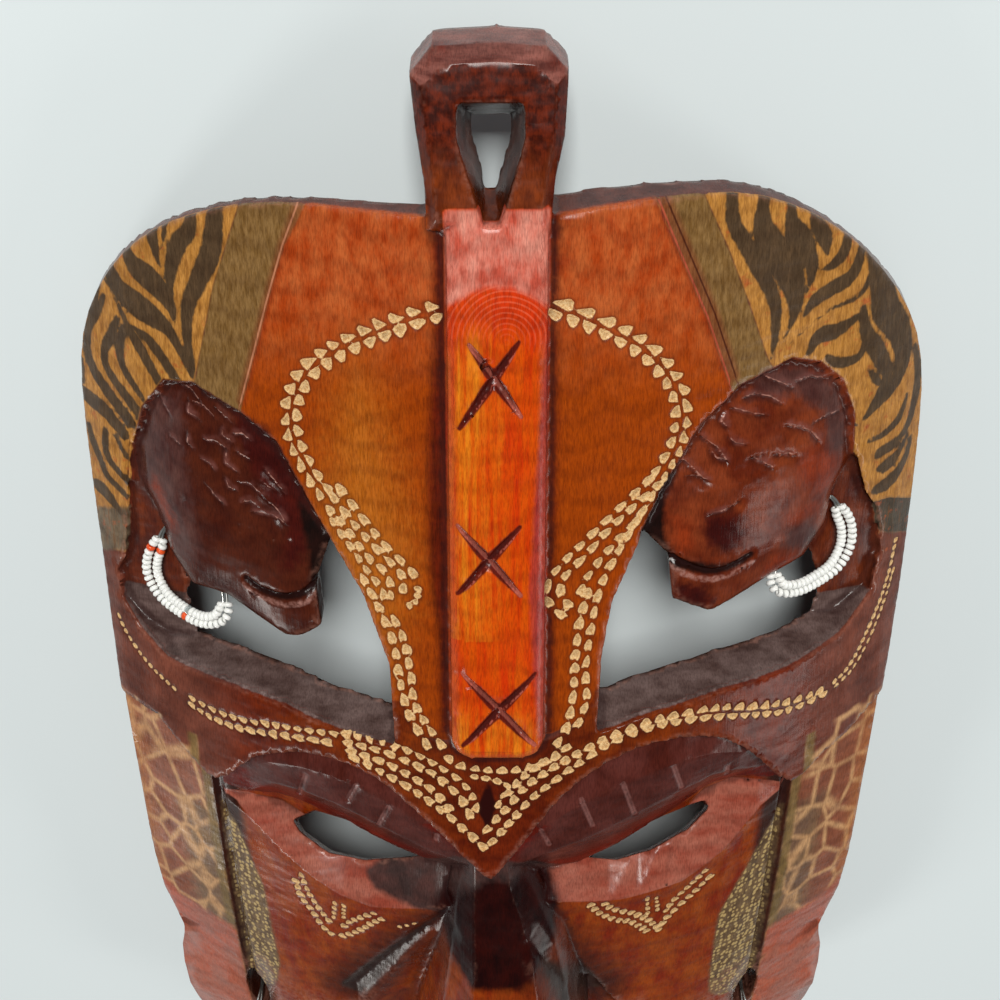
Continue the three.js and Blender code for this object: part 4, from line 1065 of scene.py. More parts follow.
    def hides(self, paint: Layers) -> None:
        """Brush dark strokes with dry edges on the gold, and net lines and coral, partly painted sheen, on
        the ears.

        Args:
            paint: The material.
        """
        gold = paint.reach("gold", -0.1, 0.4)
        paint.lay("#b0562a", paint.times(paint.noise((4, 3, 4), 0.6, 0.72), gold), 0.8)
        paint.lay("#7e4c22", paint.times(paint.noise((0.5, 5, 3), 0.5, 0.7), gold), 0.55)
        ink = paint.pair("#4c3a28", "#5c4630", (0.8, 5, 3), 0.45, 0.7)
        paint.lay(ink, paint.times(paint.reach("stroke", 0.0, 0.5, 0.35), gold))
        net = paint.spread(paint.cells((6.8, 10, 9), 0.9, "DISTANCE_TO_EDGE"), 0.15, 0.0)
        faded = paint.times(net, paint.noise((9, 14, 9), 0.2, 0.5))
        ear = paint.reach("ear", 0.2, 1.2)
        paint.lay("#d2a272", paint.times(faded, ear), 0.85)
        paint.lay("#7a6238", paint.times(paint.reach("ear_edge", 3.6, 2.2, 0.6), ear), 0.85)
        paint.lay("#b9743c", paint.times(paint.reach("ear_edge", 15.5, 20.0, 1.0), ear), 0.45)
        # Coral on the lower ears, partly their paint and partly painted sheen.
        coral_and_sheen = paint.pair("#b4583e", "#a4604e", (8, 10, 8), 0.4, 0.65)
        paint.lay(coral_and_sheen, paint.times(paint.reach("ear_low", -1.8, 2.2, 1.6), ear))

    def strap_glow(self, paint: Layers) -> None:
        """Lay red, rings and a painted pink sheen at the top of the strap, yellow down its left and
        purple down its right, and painted shade and light in the crossed cuts.

        Args:
            paint: The material.
        """
        strap = paint.reach("strap", -0.2, 0.6)
        yellow = paint.times(paint.reach("strap_left", -4.5, 4.0, 2.5), paint.noise((1.2, 30, 8), 0.38, 0.7))
        paint.lay("#e08a1c", paint.times(yellow, strap), 0.75)
        paint.lay("#b8502e", paint.times(paint.reach("strap_edge", 2.0, 0.2, 0.5), strap), 0.6)
        purple = paint.pair("#a83a30", "#8e2c30", (1.5, 12, 5), 0.4, 0.65)
        paint.lay(purple, paint.times(paint.reach("strap_wall", -0.6, 0.6, 0.4), strap), 0.8)
        crown = paint.times(paint.reach("strap_top", -11.0, -4.0, 1.0), strap)
        paint.lay("#c8300a", crown, 0.8)
        paint.lay("#dc6444", paint.times(self.growth_rings(paint), crown), 0.55)
        # Painted pink sheen over the top of the strap.
        top_sheen = paint.pair("#bf5442", "#de9482", (3, 7, 5), 0.35, 0.68)
        paint.lay(top_sheen, paint.times(paint.reach("strap_top", -0.8, 0.8, 0.5), strap), 0.92)
        # Painted shade in the crossed cuts, and a painted highlight on one wall of each.
        cut = paint.reach("cross", -0.25, 0.15, 0.12)
        paint.lay("#5e180e", cut)
        paint.lay("#c06454", paint.times(paint.reach("cross_lit", -0.02, 0.16, 0.08), cut), 0.8)

    def growth_rings(self, paint: Layers) -> Socket:
        """Draw the growth rings round their heart on the strap.

        Args:
            paint: The material.

        Returns:
            Where the pale rings show.
        """
        spot = paint.node("ShaderNodeTexCoord").outputs["Object"]
        place = paint.node("ShaderNodeMapping", {
            "Vector": spot, "Scale": (1000, 1000, 0), "Location": (-0.8, -self.ring_heart, 0.0)})
        rings = paint.node("ShaderNodeTexWave", {
            "Vector": place.outputs[0], "Scale": 0.33, "Distortion": 1.2, "Detail": 2.0,
            "Detail Scale": 0.4}, wave_type="RINGS", rings_direction="Z")
        return paint.spread(rings.outputs["Fac"], 0.6, 0.95, "LINEAR")

    def scribed_lines(self, paint: Layers) -> None:
        """Draw thin lines between the olive and the orange, with red rubbed beside them.

        Args:
            paint: The material.
        """
        for name, ink in zip(SCRIBED, self.scribe_inks):
            signed = paint.node("ShaderNodeAttribute", attribute_name=name).outputs["Fac"]
            away = paint.node("ShaderNodeMath", {0: signed}, operation="ABSOLUTE").outputs[0]
            paint.lay("#7a2416", paint.spread(away, 1.5, 0.2), 0.4)
            paint.lay(ink, paint.spread(away, 0.24, 0.08), 0.8)

    def fibres(self, paint: Layers) -> None:
        """Darken fine wood fibres about 0.3 mm wide and faint bands of growth.

        Args:
            paint: The material.
        """
        paint.lay("#4a2418", paint.noise((0.24, 1.9, 0.8), 0.42, 0.66, 2.0), 0.34, "MULTIPLY")
        bands = paint.node("ShaderNodeTexWave", {
            "Vector": paint.place((26, 52, 40)), "Scale": 2.6, "Distortion": 7.0, "Detail": 2.0,
            "Detail Scale": 0.8}, bands_direction="Y")
        dark = paint.spread(bands.outputs["Fac"], 0.5, 1.0, "LINEAR")
        paint.lay("#6e2c12", dark, 0.18, "MULTIPLY")

    def carved_marks(self, paint: Layers) -> None:
        """Lay painted shade and painted highlights on nicks, mouths, lips and lid cuts, then the dark diamond
        and the beige dots on the cheeks.

        Args:
            paint: The material.
        """
        # Painted shade in each hair nick, painted sheen on the flake below it and a painted highlight on its
        # edge.
        paint.mark("#2c0c06", 0.75, ("nick", -1.5, -0.2, 0.3), ((2, 2, 2), 0.2, 0.6))
        paint.mark("#7c4c46", 0.6, ("nick_lit", -1.6, -0.3, 0.4), ((5, 3, 5), 0.42, 0.7))
        paint.mark("#b58274", 0.8, ("nick_lit", -0.34, -0.06, 0.12), ((1.5, 1.5, 1.5), 0.3, 0.5))
        # Painted shade in the mouth cuts and a painted highlight on the lower lips.
        paint.mark("#1c0805", 1.0, ("mouth", -1.2, -0.4, 0.2))
        paint.mark("#a2766c", 0.7, ("lip_highlight", -0.8, -0.2, 0.3), ((0.8, 0.8, 0.8), 0.3, 0.6))
        # Painted highlight on the lid cuts.
        paint.mark("#9a6862", 0.6, ("lid_cut", -0.75, -0.25, 0.15), ((2, 5, 3), 0.3, 0.55))
        paint.mark("#260604", 1.0, ("diamond", -0.3, 0.5, 0.3))
        low = paint.times(paint.reach("panel_low", 0.0, 7.0, 1.2), paint.reach("panel", -0.2, 0.4))
        paint.lay("#3c0d05", low, 0.8)
        dots = paint.spread(paint.cells((1.15, 1.5, 1.3), 0.6), 0.52, 0.3)
        paint.lay("#c2a56c", paint.times(dots, paint.reach("wedge", 0.1, 0.5)), 0.8)

    def shine(self, paint: Layers, chips: Socket) -> Socket:
        """Satin lacquer, rubbed duller in patches, and matt bare wood in the chips.

        Args:
            paint: The material.
            chips: Where the chips are.

        Returns:
            The roughness.
        """
        lacquer = paint.node("ShaderNodeMapRange", {
            "Value": paint.noise((9, 9, 9), 0.3, 0.7), "To Min": self.roughness - 0.06,
            "To Max": self.roughness + 0.12})
        into = {0: chips, 2: lacquer.outputs[0], 3: self.bare_roughness}
        return paint.node("ShaderNodeMix", into, data_type="FLOAT").outputs[0]

    def relief(self, paint: Layers, chips: Socket) -> Socket:
        """Fibres, grit in the chips and knife marks, all too fine for the mesh.

        Args:
            paint: The material.
            chips: Where the chips are.

        Returns:
            The normal.
        """
        fibre = paint.noise((0.4, 8, 2.5), 0.2, 0.8, 4.0)
        grit = paint.times(paint.noise((0.35, 0.35, 0.35), 0.2, 0.8), chips)
        knife = paint.noise((7, 3, 5), 0.3, 0.7, 1.0)
        below: Inputs = {}
        for height, strength, deep in ((fibre, 0.22, 0.12), (grit, 0.8, 0.2), (knife, 0.3, 0.25)):
            into = {"Height": height, "Strength": strength, "Distance": deep * MM, **below}
            below = {"Normal": paint.node("ShaderNodeBump", into).outputs[0]}
        return below["Normal"]


@dataclass(frozen=True)
class BeadGlass:
    """Opaque glass seed beads: pressed glass with a smooth bright surface and soft depth."""

    name: str
    colour: str
    warm: str
    transmission: float = 0.0
    clouds_per_metre: float = 420.0
    depth_mm: float = 0.5

    def dress(self) -> bpy.types.Material:
        """Build the glass, a little cloudy from bead to bead.

        Returns:
            The glass.
        """
        glass = Layers(self.name)
        place = glass.node("ShaderNodeTexCoord").outputs["Object"]
        cloud = glass.node("ShaderNodeTexNoise", {
            "Vector": place, "Scale": self.clouds_per_metre, "Detail": 1.0})
        return glass.surface({
            "Base Color": glass.mix(self.colour, self.warm, cloud.outputs["Fac"]), "Roughness": 0.12,
            "IOR": 1.5, "Subsurface Weight": 0.2, "Subsurface Radius": (self.depth_mm * MM,) * 3,
            "Transmission Weight": self.transmission})


@dataclass(frozen=True)
class DrawnWire:
    """Drawn steel wire, bright with fine lines along its draw and a dull film."""

    name: str = "drawn_steel_wire"
    colour: str = "#b7b9b6"
    lines_per_metre: float = 900.0

    def dress(self) -> bpy.types.Material:
        """Build the metal.

        Returns:
            The wire's metal.
        """
        wire = Layers(self.name)
        place = wire.node("ShaderNodeTexCoord").outputs["Object"]
        film = wire.node("ShaderNodeTexNoise", {
            "Vector": place, "Scale": self.lines_per_metre, "Detail": 2.0})
        rough = wire.node("ShaderNodeMapRange", {
            "Value": film.outputs["Fac"], "To Min": 0.2, "To Max": 0.42})
        return wire.surface({
            "Base Color": linear(self.colour), "Metallic": 1.0, "Roughness": rough.outputs[0]})


# The carved mask


def chip_reach(p: Array, chips: list[Array]) -> Array:
    """Signed distance to the nearest chip.

    Args:
        p: Points, one per row.
        chips: Outlines of the chips.

    Returns:
        Distance of each point, positive inside a chip.
    """
    best = np.full(len(p), -3.0)
    for ring in chips:
        here = np.flatnonzero(boxed(p, ring, 1.5))
        if len(here):
            best[here] = np.maximum(best[here], within(p[here, :2], ring))
    return best


def cross_reach(xy: Array, stroke: Line, wide: float) -> Array:
    """Signed distance to a straight cut that narrows towards both its ends.

    Args:
        xy: Points, one per row.
        stroke: Both ends of the cut.
        wide: Half its width in the middle.

    Returns:
        Distance of each point, positive inside the cut.
    """
    line = smooth_line(stroke, 1.0)
    taper = 0.25 + 0.75 * np.sin(np.linspace(0.12, np.pi - 0.12, len(line)))
    return -off_line(xy, line, wide * taper)


def hollowness(obj: bpy.types.Object, p: Array, n: Array) -> Array:
    """How much lower than its neighbours each place lies, in millimetres.

    Args:
        obj: The mask.
        p: Its points.
        n: Its normals.

    Returns:
        Positive in hollows, negative on edges, smoothed over a few millimetres.
    """
    around = Neighbours(obj)
    far = p.copy()
    for _ in range(3):
        far = around.means(far)
    value = np.einsum("ij,ij->i", far - p, n)
    return 0.5 * value + 0.5 * around.mean(value)


class FieldMap:
    """Signed distances from the mask's points to the edges of its painted fields, in millimetres."""

    def __init__(self, obj: bpy.types.Object) -> None:
        """Measure where the points lie.

        Args:
            obj: The carved mask.
        """
        self.obj = obj
        self.p = points_of(obj)
        self.normal = normals_of(obj)
        self.xy = self.p[:, :2]
        self.x, self.y, z = self.p.T
        self.board = FRONT.board(self.x, self.y) - z
        self.face = FRONT.face(self.x, self.y) - z
        self.strap = FRONT.strap(self.x, self.y) - z
        self.ear = FRONT.ear(self.x, self.y) - z
        self.top = meet(1.1 - self.board, self.board + 1.6)
        self.inside = {
            name: np.maximum.reduce([within(self.xy, ring) for ring in rings])
            for name, rings in FIELDS.items()}
        self.out: dict[str, Array] = {}

    def write(self, chips: list[Array], cross_wide: float) -> None:
        """Work out all the fields and write them on the mesh.

        Args:
            chips: Outlines of the chips.
            cross_wide: Half the width of the crossed cuts.
        """
        self.paint_board()
        self.paint_openings()
        self.paint_loop()
        self.paint_strap()
        self.paint_face()
        self.paint_ears()
        self.ink_nicks()
        self.ink_strokes()
        self.ink_crosses(cross_wide)
        chip = chip_reach(self.p, chips)
        self.out["chip"] = np.where((np.abs(self.board) < 1.3) | (self.y < -12), chip, -3.0)
        self.out["hollow"] = hollowness(self.obj, self.p, self.normal)
        for name, values in self.out.items():
            made = self.obj.data.attributes.new(name, "FLOAT", "POINT")
            made.data.foreach_set("value", np.clip(values, -30, 30).astype(np.float32))

    def paint_board(self) -> None:
        """Gold, olive, panel, patches and brow on the front of the board."""
        out, inside, x, y, top = self.out, self.inside, self.x, self.y, self.top
        out["gold"] = meet(
            top, y - 55, -inside["panel"] - 0.1, -inside["olive"] - 0.1, -inside["head"] - 0.2,
            np.abs(x) - 20)
        for name in ("olive", "panel", "diamond"):
            out[name] = meet(top, inside[name])
        out["panel_gold"] = meet(out["panel"] * 9, 10 - np.abs(x + 27)) - 0.25 * np.abs(y - 75)
        # Painted sheen towards the top of the panel.
        out["panel_top_sheen"] = meet(out["panel"] * 9, 0.7 * (y - 118) + 0.1 * np.abs(x))
        out["panel_low"] = 42.5 - y - 0.1 * np.abs(x)
        out["patch"] = meet(1.6 - self.board, inside["patch"])
        out["patch_right"] = meet(plateau(out["patch"]), x)
        out["brow"] = meet(1.1 - self.board, inside["brow"])
        out["brow_ends"] = meet(np.where(x < 0, -x - 58, x - 66), plateau(out["brow"]))
        out["brow_warm"] = meet(18 - np.abs(np.abs(x) - 28), plateau(out["brow"]))

    def paint_openings(self) -> None:
        """Ledges and walls of the two openings, and the heads in them."""
        out, inside, x, y, board = self.out, self.inside, self.x, self.y, self.board
        # Ledges get a painted sheen, paler near their low edge.
        out["ledge"] = meet(board - 0.9, 47.5 - y, inside["opening"] + 4.0, 82 - np.abs(x))
        out["ledge_low_sheen"] = meet(out["ledge"], 1.5 - board)
        recess = meet(board - 0.8, inside["opening"] + 1.4, y - 40, np.abs(x) - 50)
        out["recess"] = np.where(self.normal[:, 2] > 0.1, recess, -1)
        head = meet(inside["head"] + 0.3, 11 - board)
        out["left_head"] = np.where(x < 0, head, -5)
        out["right_head"] = np.where(x > 0, head, -5)
        # The mauve fields are painted sheen and the black ones painted shadow on the heads.
        for name in ("head_painted_sheen", "head_orange", "head_maroon", "head_painted_shadow"):
            out[name] = meet(inside[name], inside["head"] + 1)

    def paint_loop(self) -> None:
        """The hanging loop with the painted sheen on its upturned bevel, and its hole."""
        out, x, y = self.out, self.x, self.y
        wide = np.where(y < 141, 10.4 - FRONT.off_strap(x), 14.5 - np.abs(x + 2))
        out["loop"] = meet(y - 134.6, wide)
        out["loop_low"] = meet(out["loop"], 149 - y)
        # Painted sheen on the loop's facets that face up.
        out["loop_bevel_sheen"] = meet(out["loop"], (self.normal[:, 1] - 0.45) * 6, y - 150)
        hole = meet(within(self.xy, LOOP_HOLE) + 2.6, (0.72 - self.normal[:, 2]) * 6)
        out["loop_hole"] = np.where(out["loop"] > 0, hole, NOWHERE)

    def paint_strap(self) -> None:
        """The strap, its yellow left side, its purple right wall, the painted shadow beside it and its crown
        with a painted sheen.
        """
        out, inside, x, y = self.out, self.inside, self.x, self.y
        off = FRONT.off_strap(x)
        # A painted shadow band beside the strap, wider on its left.
        wide = np.where(x < 0, stepped(STRAP_SHADOW_HALF, y), 0.9)
        out["strap_painted_shadow"] = meet(self.top, wide - np.abs(off - 10.2)) - np.where(y < 38, 2, 0)
        out["strap"] = meet(inside["strap"] + 0.5, 2.2 - self.strap)
        out["strap_left"] = np.where(y > 60, -2.5 - x, 44 - y)
        out["strap_edge"] = meet(inside["strap"], 5)
        out["strap_top"] = y - (127.8 - 0.05 * off ** 2)
        out["strap_wall"] = x - stepped(STRAP_WALL, y)

    def paint_face(self) -> None:
        """Cheeks, lids, nose and the painted shadow in the folds beside it, with painted sheen on the lower
        lids and painted light low on the nose.
        """
        out, inside, x, y, board, face = self.out, self.inside, self.x, self.y, self.board, self.face
        out["lid"] = meet(inside["lid"] + 0.6, board - 1.6, 20 - face)
        glow = 4.6 - inside["lid"] - np.where(y > 12, 8, 0)
        out["lid_glow"] = np.where(out["lid"] > 0, glow, NOWHERE)
        # Painted sheen on the lower lids.
        out["under_lid"] = meet(inside["under_lid"] + 0.4, board - 1.6)
        out["inner_lid"] = meet(inside["inner_lid"], board - 1.6)
        out["wedge"] = meet(inside["wedge"], 12 - face)
        out["nose"] = meet(inside["nose"], 20 - face)
        # Painted light on the lower nose.
        out["nose_tip"] = meet(8.5 - np.abs(x + 1), -31.5 - y, y + 47, 20 - face)
        out["face"] = meet(12 - y, 64 - np.abs(x), 26 - face, board - 1.6)
        # Painted shadow in the nasal folds, and painted shade on the cheeks beside them.
        paths = [smooth_line(line, 2.0) for line in NASAL_FOLDS]
        fold = meet(*(off_line(self.xy, path, np.linspace(0.3, 3.4, len(path))) for path in paths))
        out["fold"] = -fold
        out["face_painted_shade"] = meet(5.5 - fold, out["face"])

    def paint_ears(self) -> None:
        """The ear panels, the painted shade in the grooves beside them, and their coral lobes."""
        out, x, y, off = self.out, self.x, self.y, np.abs(self.x)
        # Painted shade along the groove.
        out["groove"] = meet(4.0 - np.abs(off - 62.5), 16 - y, y + 120)
        out["ear_low"] = stepped(LOBE_TOP, off) - y
        out["ear_edge"] = off - 65.2
        out["ear"] = meet(22 - y, out["ear_edge"], 3.2 - self.ear)
        out["ear_left"] = meet(out["ear"] * 4, x + 77.5, 75.5 - off, -8.0 - y)

    def ink_nicks(self) -> None:
        """Both sides of the hair nicks, for painted shade and painted highlight, the mouths with the painted
        highlight on their lower lips, and the lid cuts.
        """
        out, xy, board = self.out, self.xy, self.board
        nick = np.full(len(xy), NOWHERE)
        lit = nick.copy()
        for line in NICKS:
            far, below = beside_line(xy, line)
            nick = np.where(below, np.maximum(nick, -far), nick)
            lit = np.maximum(lit, np.where(below, -2.5 * far, -far))
        # Lines of the painted highlight just below each mouth.
        lip_highlight_lines = tuple(beside(line, -1.7) for line in MOUTHS)
        cuts = meet(*(off_line(xy, np.array(line, float)) for line in LID_CUTS))
        for name, values, seen in (
            ("nick", nick, board < 6), ("nick_lit", lit, board < 6),
            ("mouth", self.along(MOUTHS), board < 8), ("lip_highlight", self.along(lip_highlight_lines), board < 8),
            ("lid_cut", -cuts, board > 0.8),
        ):
            out[name] = np.where(seen, values, NOWHERE)

    def along(self, lines: tuple[Line, ...]) -> Array:
        """How near the nearest of several lines is, 0 on it and negative away from it."""
        return -meet(*(off_line(self.xy, smooth_line(line, 1.0)) for line in lines))

    def ink_strokes(self) -> None:
        """The strokes of the two hides on the gold, and the scribed lines beside the panel."""
        strokes = np.full(len(self.xy), -4.0)
        gold = np.flatnonzero(self.out["gold"] > -1)
        for stroke in STROKES_LEFT + STROKES_RIGHT:
            line = smooth_line(stroke, 1.5)
            strokes[gold] = np.maximum(strokes[gold], -off_line(self.xy[gold], line[:, :2], line[:, 2]))
        self.out["stroke"] = strokes + np.where(self.x < 0, 0.3, 0.05)
        seen = (self.top > -0.5) & (self.inside["head"] < 0)
        for name, line in SCRIBED.items():
            far, right = beside_line(self.xy, line)
            self.out[name] = np.where(seen, np.where(right, far, -far), NOWHERE)

    def ink_crosses(self, wide: float) -> None:
        """The crossed cuts, painted dark as shade, and the painted light on their walls.

        Args:
            wide: Half the width of a cut.
        """
        cross = np.full(len(self.xy), -3.0)
        lit = cross.copy()
        for stroke in STRAP_STROKES:
            a, b = stroke
            reach = cross_reach(self.xy, stroke, wide)
            side = np.array([b[1] - a[1], a[0] - b[0]], float)
            side *= np.sign(side[1]) / np.linalg.norm(side)
            below = -((self.xy - np.array(a)) @ side)
            falls = (b[0] - a[0]) * (b[1] - a[1]) < 0
            ridge = 0.5 - np.abs(below) if falls else 0.2 - np.abs(below - 0.6)
            lit = np.where(reach > cross, ridge, lit)
            cross = np.maximum(cross, reach)
        self.out["cross"] = np.where(self.strap > -1, cross, -3)
        self.out["cross_lit"] = lit


@dataclass
class CarvedMask:
    """The whole mask as one carved piece of wood."""

    node: str = "carved_mask"
    voxel: float = 1.0
    hidden_share: float = 0.05
    head_rubs: int = 90
    edge_rubs: int = 2
    edge_catch: float = 1.05
    edge_step: float = 0.12
    sharp_below: float = 0.87
    chip_deep: float = 0.38
    nick_deep: float = 0.5
    nick_wide: float = 1.8
    cross_deep: float = 1.1
    cross_wide: float = 1.0

    def build(self) -> bpy.types.Object:
        """Carve the mask and paint it.

        Returns:
            The finished piece.
        """
        obj = self.rough_out()
        self.fair_fronts(obj)
        self.round_heads(obj)
        self.thin_hidden_side(obj)
        chips = [ring for row in CHIP_ROWS + FACE_ROWS for ring in row.outlines()]
        self.refine(obj, chips)
        self.cut(obj, chips)
        FieldMap(obj).write(chips, self.cross_wide)
        obj.data.materials.clear()
        obj.data.materials.append(PaintedWood().dress())
        bpy.ops.object.select_all(action="DESELECT")
        obj.data.shade_smooth()
        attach(obj, "root")
        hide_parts(self.node)
        log.info("mask: %d faces, %d chips", len(obj.data.polygons), len(chips))
        return obj

    def rough_out(self) -> bpy.types.Object:
        """Turn a merged copy of the solid into even small faces.

        Returns:
            The rough mask.
        """
        source = bpy.data.objects[self.node]
        obj = bpy.data.objects.new("painted_mask", source.data.copy())
        bpy.context.scene.collection.objects.link(obj)
        only(obj)
        bpy.ops.object.mode_set(mode="EDIT")
        bpy.ops.mesh.select_all(action="SELECT")
        bpy.ops.mesh.remove_doubles(threshold=0.01 * MM)
        bpy.ops.object.mode_set(mode="OBJECT")
        solid = obj.copy()
        solid.data = obj.data.copy()
        bpy.context.scene.collection.objects.link(solid)
        apply_modifier(obj, "REMESH", mode="VOXEL", voxel_size=self.voxel * MM)
        apply_modifier(obj, "SMOOTH", factor=0.5, iterations=3)
        apply_modifier(obj, "SHRINKWRAP", target=solid, wrap_method="NEAREST_SURFACEPOINT")
        self.draw_edges(obj, solid)
        self.fair_edges(obj)
        bpy.data.objects.remove(solid)
        return obj

    def fair_edges(self, obj: bpy.types.Object) -> None:
        """Rub the steps of the rough shape down along the carved edges.

        Args:
            obj: The mask.
        """
        p = points_of(obj)
        around = Neighbours(obj)
        spread = 1 - np.linalg.norm(around.means(normals_of(obj)), axis=1)
        free = ease((spread - 0.006) / 0.03)[:, None]
        for _ in range(self.edge_rubs):
            p += (around.means(p) - p) * free * 0.3
        put_points(obj, p)

    def draw_edges(self, obj: bpy.types.Object, solid: bpy.types.Object) -> None:
        """Pull the points beside each sharp carved edge onto that edge, so that it runs clean.

        Args:
            obj: The mask.
            solid: The solid that it was made from.
        """
        ends, faces = solid.data.vertices, solid.data.polygons
        sharing: dict[tuple[int, int], list[int]] = {}
        for face in faces:
            for key in face.edge_keys:
                sharing.setdefault(key, []).append(face.index)
        spots = []
        for (a, b), pair in sharing.items():
            if len(pair) == 2 and faces[pair[0]].normal.dot(faces[pair[1]].normal) < self.sharp_below:
                start, stop = ends[a].co / MM, ends[b].co / MM
                steps = int((stop - start).length / self.edge_step) + 1
                spots += [start.lerp(stop, i / steps) for i in range(steps + 1)]
        tree = KDTree(len(spots))
        for i, spot in enumerate(spots):
            tree.insert(spot, i)
        tree.balance()
        p = points_of(obj)
        for i, point in enumerate(p):
            spot, _, far = tree.find(point)
            if far < self.edge_catch:
                p[i] = spot
        put_points(obj, p)

    def fair_fronts(self, obj: bpy.types.Object) -> None:
        """Bring the fronts of board, strap and ears from flat facets to their true curves.

        Args:
            obj: The mask.
        """
        p = points_of(obj)
        x, y, z = p.T
        up = normals_of(obj)[:, 2]
        strap = within(p[:, :2], FIELDS["strap"][0])
        for height, reach in (
            (FRONT.board(x, y), (up > 0.75) & (strap < -0.6) & (np.abs(x) < 88)),
            (FRONT.strap(x, y), (up > 0.75) & (strap > 0.7) & (y < 136)),
            (FRONT.ear(x, y), (up > 0.6) & (np.abs(x) > 66.5) & (y < 12)),
        ):
            off = height - z
            hold = (1 - ease((np.abs(off) - 0.35) / 0.3)) * reach
            z = z + off * hold
        p[:, 2] = z
        put_points(obj, p)

    def round_heads(self, obj: bpy.types.Object) -> None:
        """Rub the steps of each head's relief down to one smooth dome.

        Args:
            obj: The mask.
        """
        p = points_of(obj)
        head = np.maximum.reduce([within(p[:, :2], ring) for ring in FIELDS["head"]])
        free = ease((head - 1.2) / 2.5) * (normals_of(obj)[:, 2] > 0.1)
        z = p[:, 2].copy()
        around = Neighbours(obj)
        for _ in range(self.head_rubs):
            z += (around.mean(z) - z) * free
        p[:, 2] = z
        put_points(obj, p)

    def thin_hidden_side(self, obj: bpy.types.Object) -> None:
        """Give the hollow, the low walls and the plain chin fewer faces.

        Args:
            obj: The mask.
        """
        x, y, z = points_of(obj).T
        below = FRONT.board(x, y) - z
        front = (normals_of(obj)[:, 2] > -0.15) & (below < np.where(y < 30, 34, 16)) & (y > -62)
        front |= (y > 133) & (below < 14)
        mark_faces(obj, ~front)
        bpy.ops.mesh.decimate(ratio=self.hidden_share)
        bpy.ops.object.mode_set(mode="OBJECT")

    def refine(self, obj: bpy.types.Object, chips: list[Array]) -> None:
        """Split the faces where chips and cuts go.

        Args:
            obj: The mask.
            chips: Outlines of the chips.
        """
        xy = points_of(obj)[:, :2]
        near = np.logical_or.reduce([boxed(xy, ring, 0.7) for ring in chips])
        for lines, reach in ((STRAP_STROKES, self.cross_wide + 0.7), (NICKS + MOUTHS + LID_CUTS, 1.6)):
            for line in lines:
                near |= off_line(xy, np.array(line, float)) < reach
        count = mark_faces(obj, near & (normals_of(obj)[:, 2] > 0.2))
        bpy.ops.mesh.subdivide(number_cuts=1)
        bpy.ops.mesh.select_all(action="SELECT")
        bpy.ops.mesh.quads_convert_to_tris(quad_method="BEAUTY", ngon_method="BEAUTY")
        bpy.ops.object.mode_set(mode="OBJECT")
        log.info("refined %d faces for the cuts", count)

    def cut(self, obj: bpy.types.Object, chips: list[Array]) -> None:
        """Cut chips, crossed cuts, hair and lid notches into the front.

        Args:
            obj: The mask.
            chips: Outlines of the chips.
        """
        p = points_of(obj)
        up = np.clip(normals_of(obj)[:, 2] * 2 - 0.5, 0, 1)
        chip = chip_reach(p, chips)
        on_board = np.abs(FRONT.board(p[:, 0], p[:, 1]) - p[:, 2]) < 0.8
        on_face = p[:, 1] < -12
        p[:, 2] -= self.chip_deep * ease((chip + 0.1) / 0.55) * up * (on_board | on_face)
        self.nick(p)
        on_strap = within(p[:, :2], FIELDS["strap"][0]) > 0.3
        for stroke in STRAP_STROKES:
            reach = cross_reach(p[:, :2], stroke, self.cross_wide)
            floor = FRONT.strap(p[:, 0], p[:, 1]) - self.cross_deep * ease(reach / self.cross_wide)
            p[:, 2] = np.where(on_strap & (reach > 0), np.minimum(p[:, 2], floor), p[:, 2])
        put_points(obj, p)

    def nick(self, p: Array) -> None:
        """Lift a flake below each nick in the hair, and cut mouths, lids and nasal folds.

        Args:
            p: Points of the mask, changed in place.
        """
        xy = p[:, :2]
        for line in NICKS:
            far, below = beside_line(xy, line)
            p[:, 2] -= self.nick_deep * np.clip(1 - far / self.nick_wide, 0, 1) * below
        board = FRONT.board(p[:, 0], p[:, 1]) - p[:, 2]
        recessed = np.clip(board / 1.5, 0, 1)
        for lines, half, deep, hold in (
            (MOUTHS, 1.3, 1.1, board < 6), (LID_CUTS, 0.8, 0.55, recessed), (NASAL_FOLDS, 3.0, 1.6, recessed),
        ):
            for line in lines:
                far = off_line(xy, smooth_line(line, 1.0))
                p[:, 2] -= deep * np.clip(1 - far / half, 0, 1) * hold


# Beads on wire


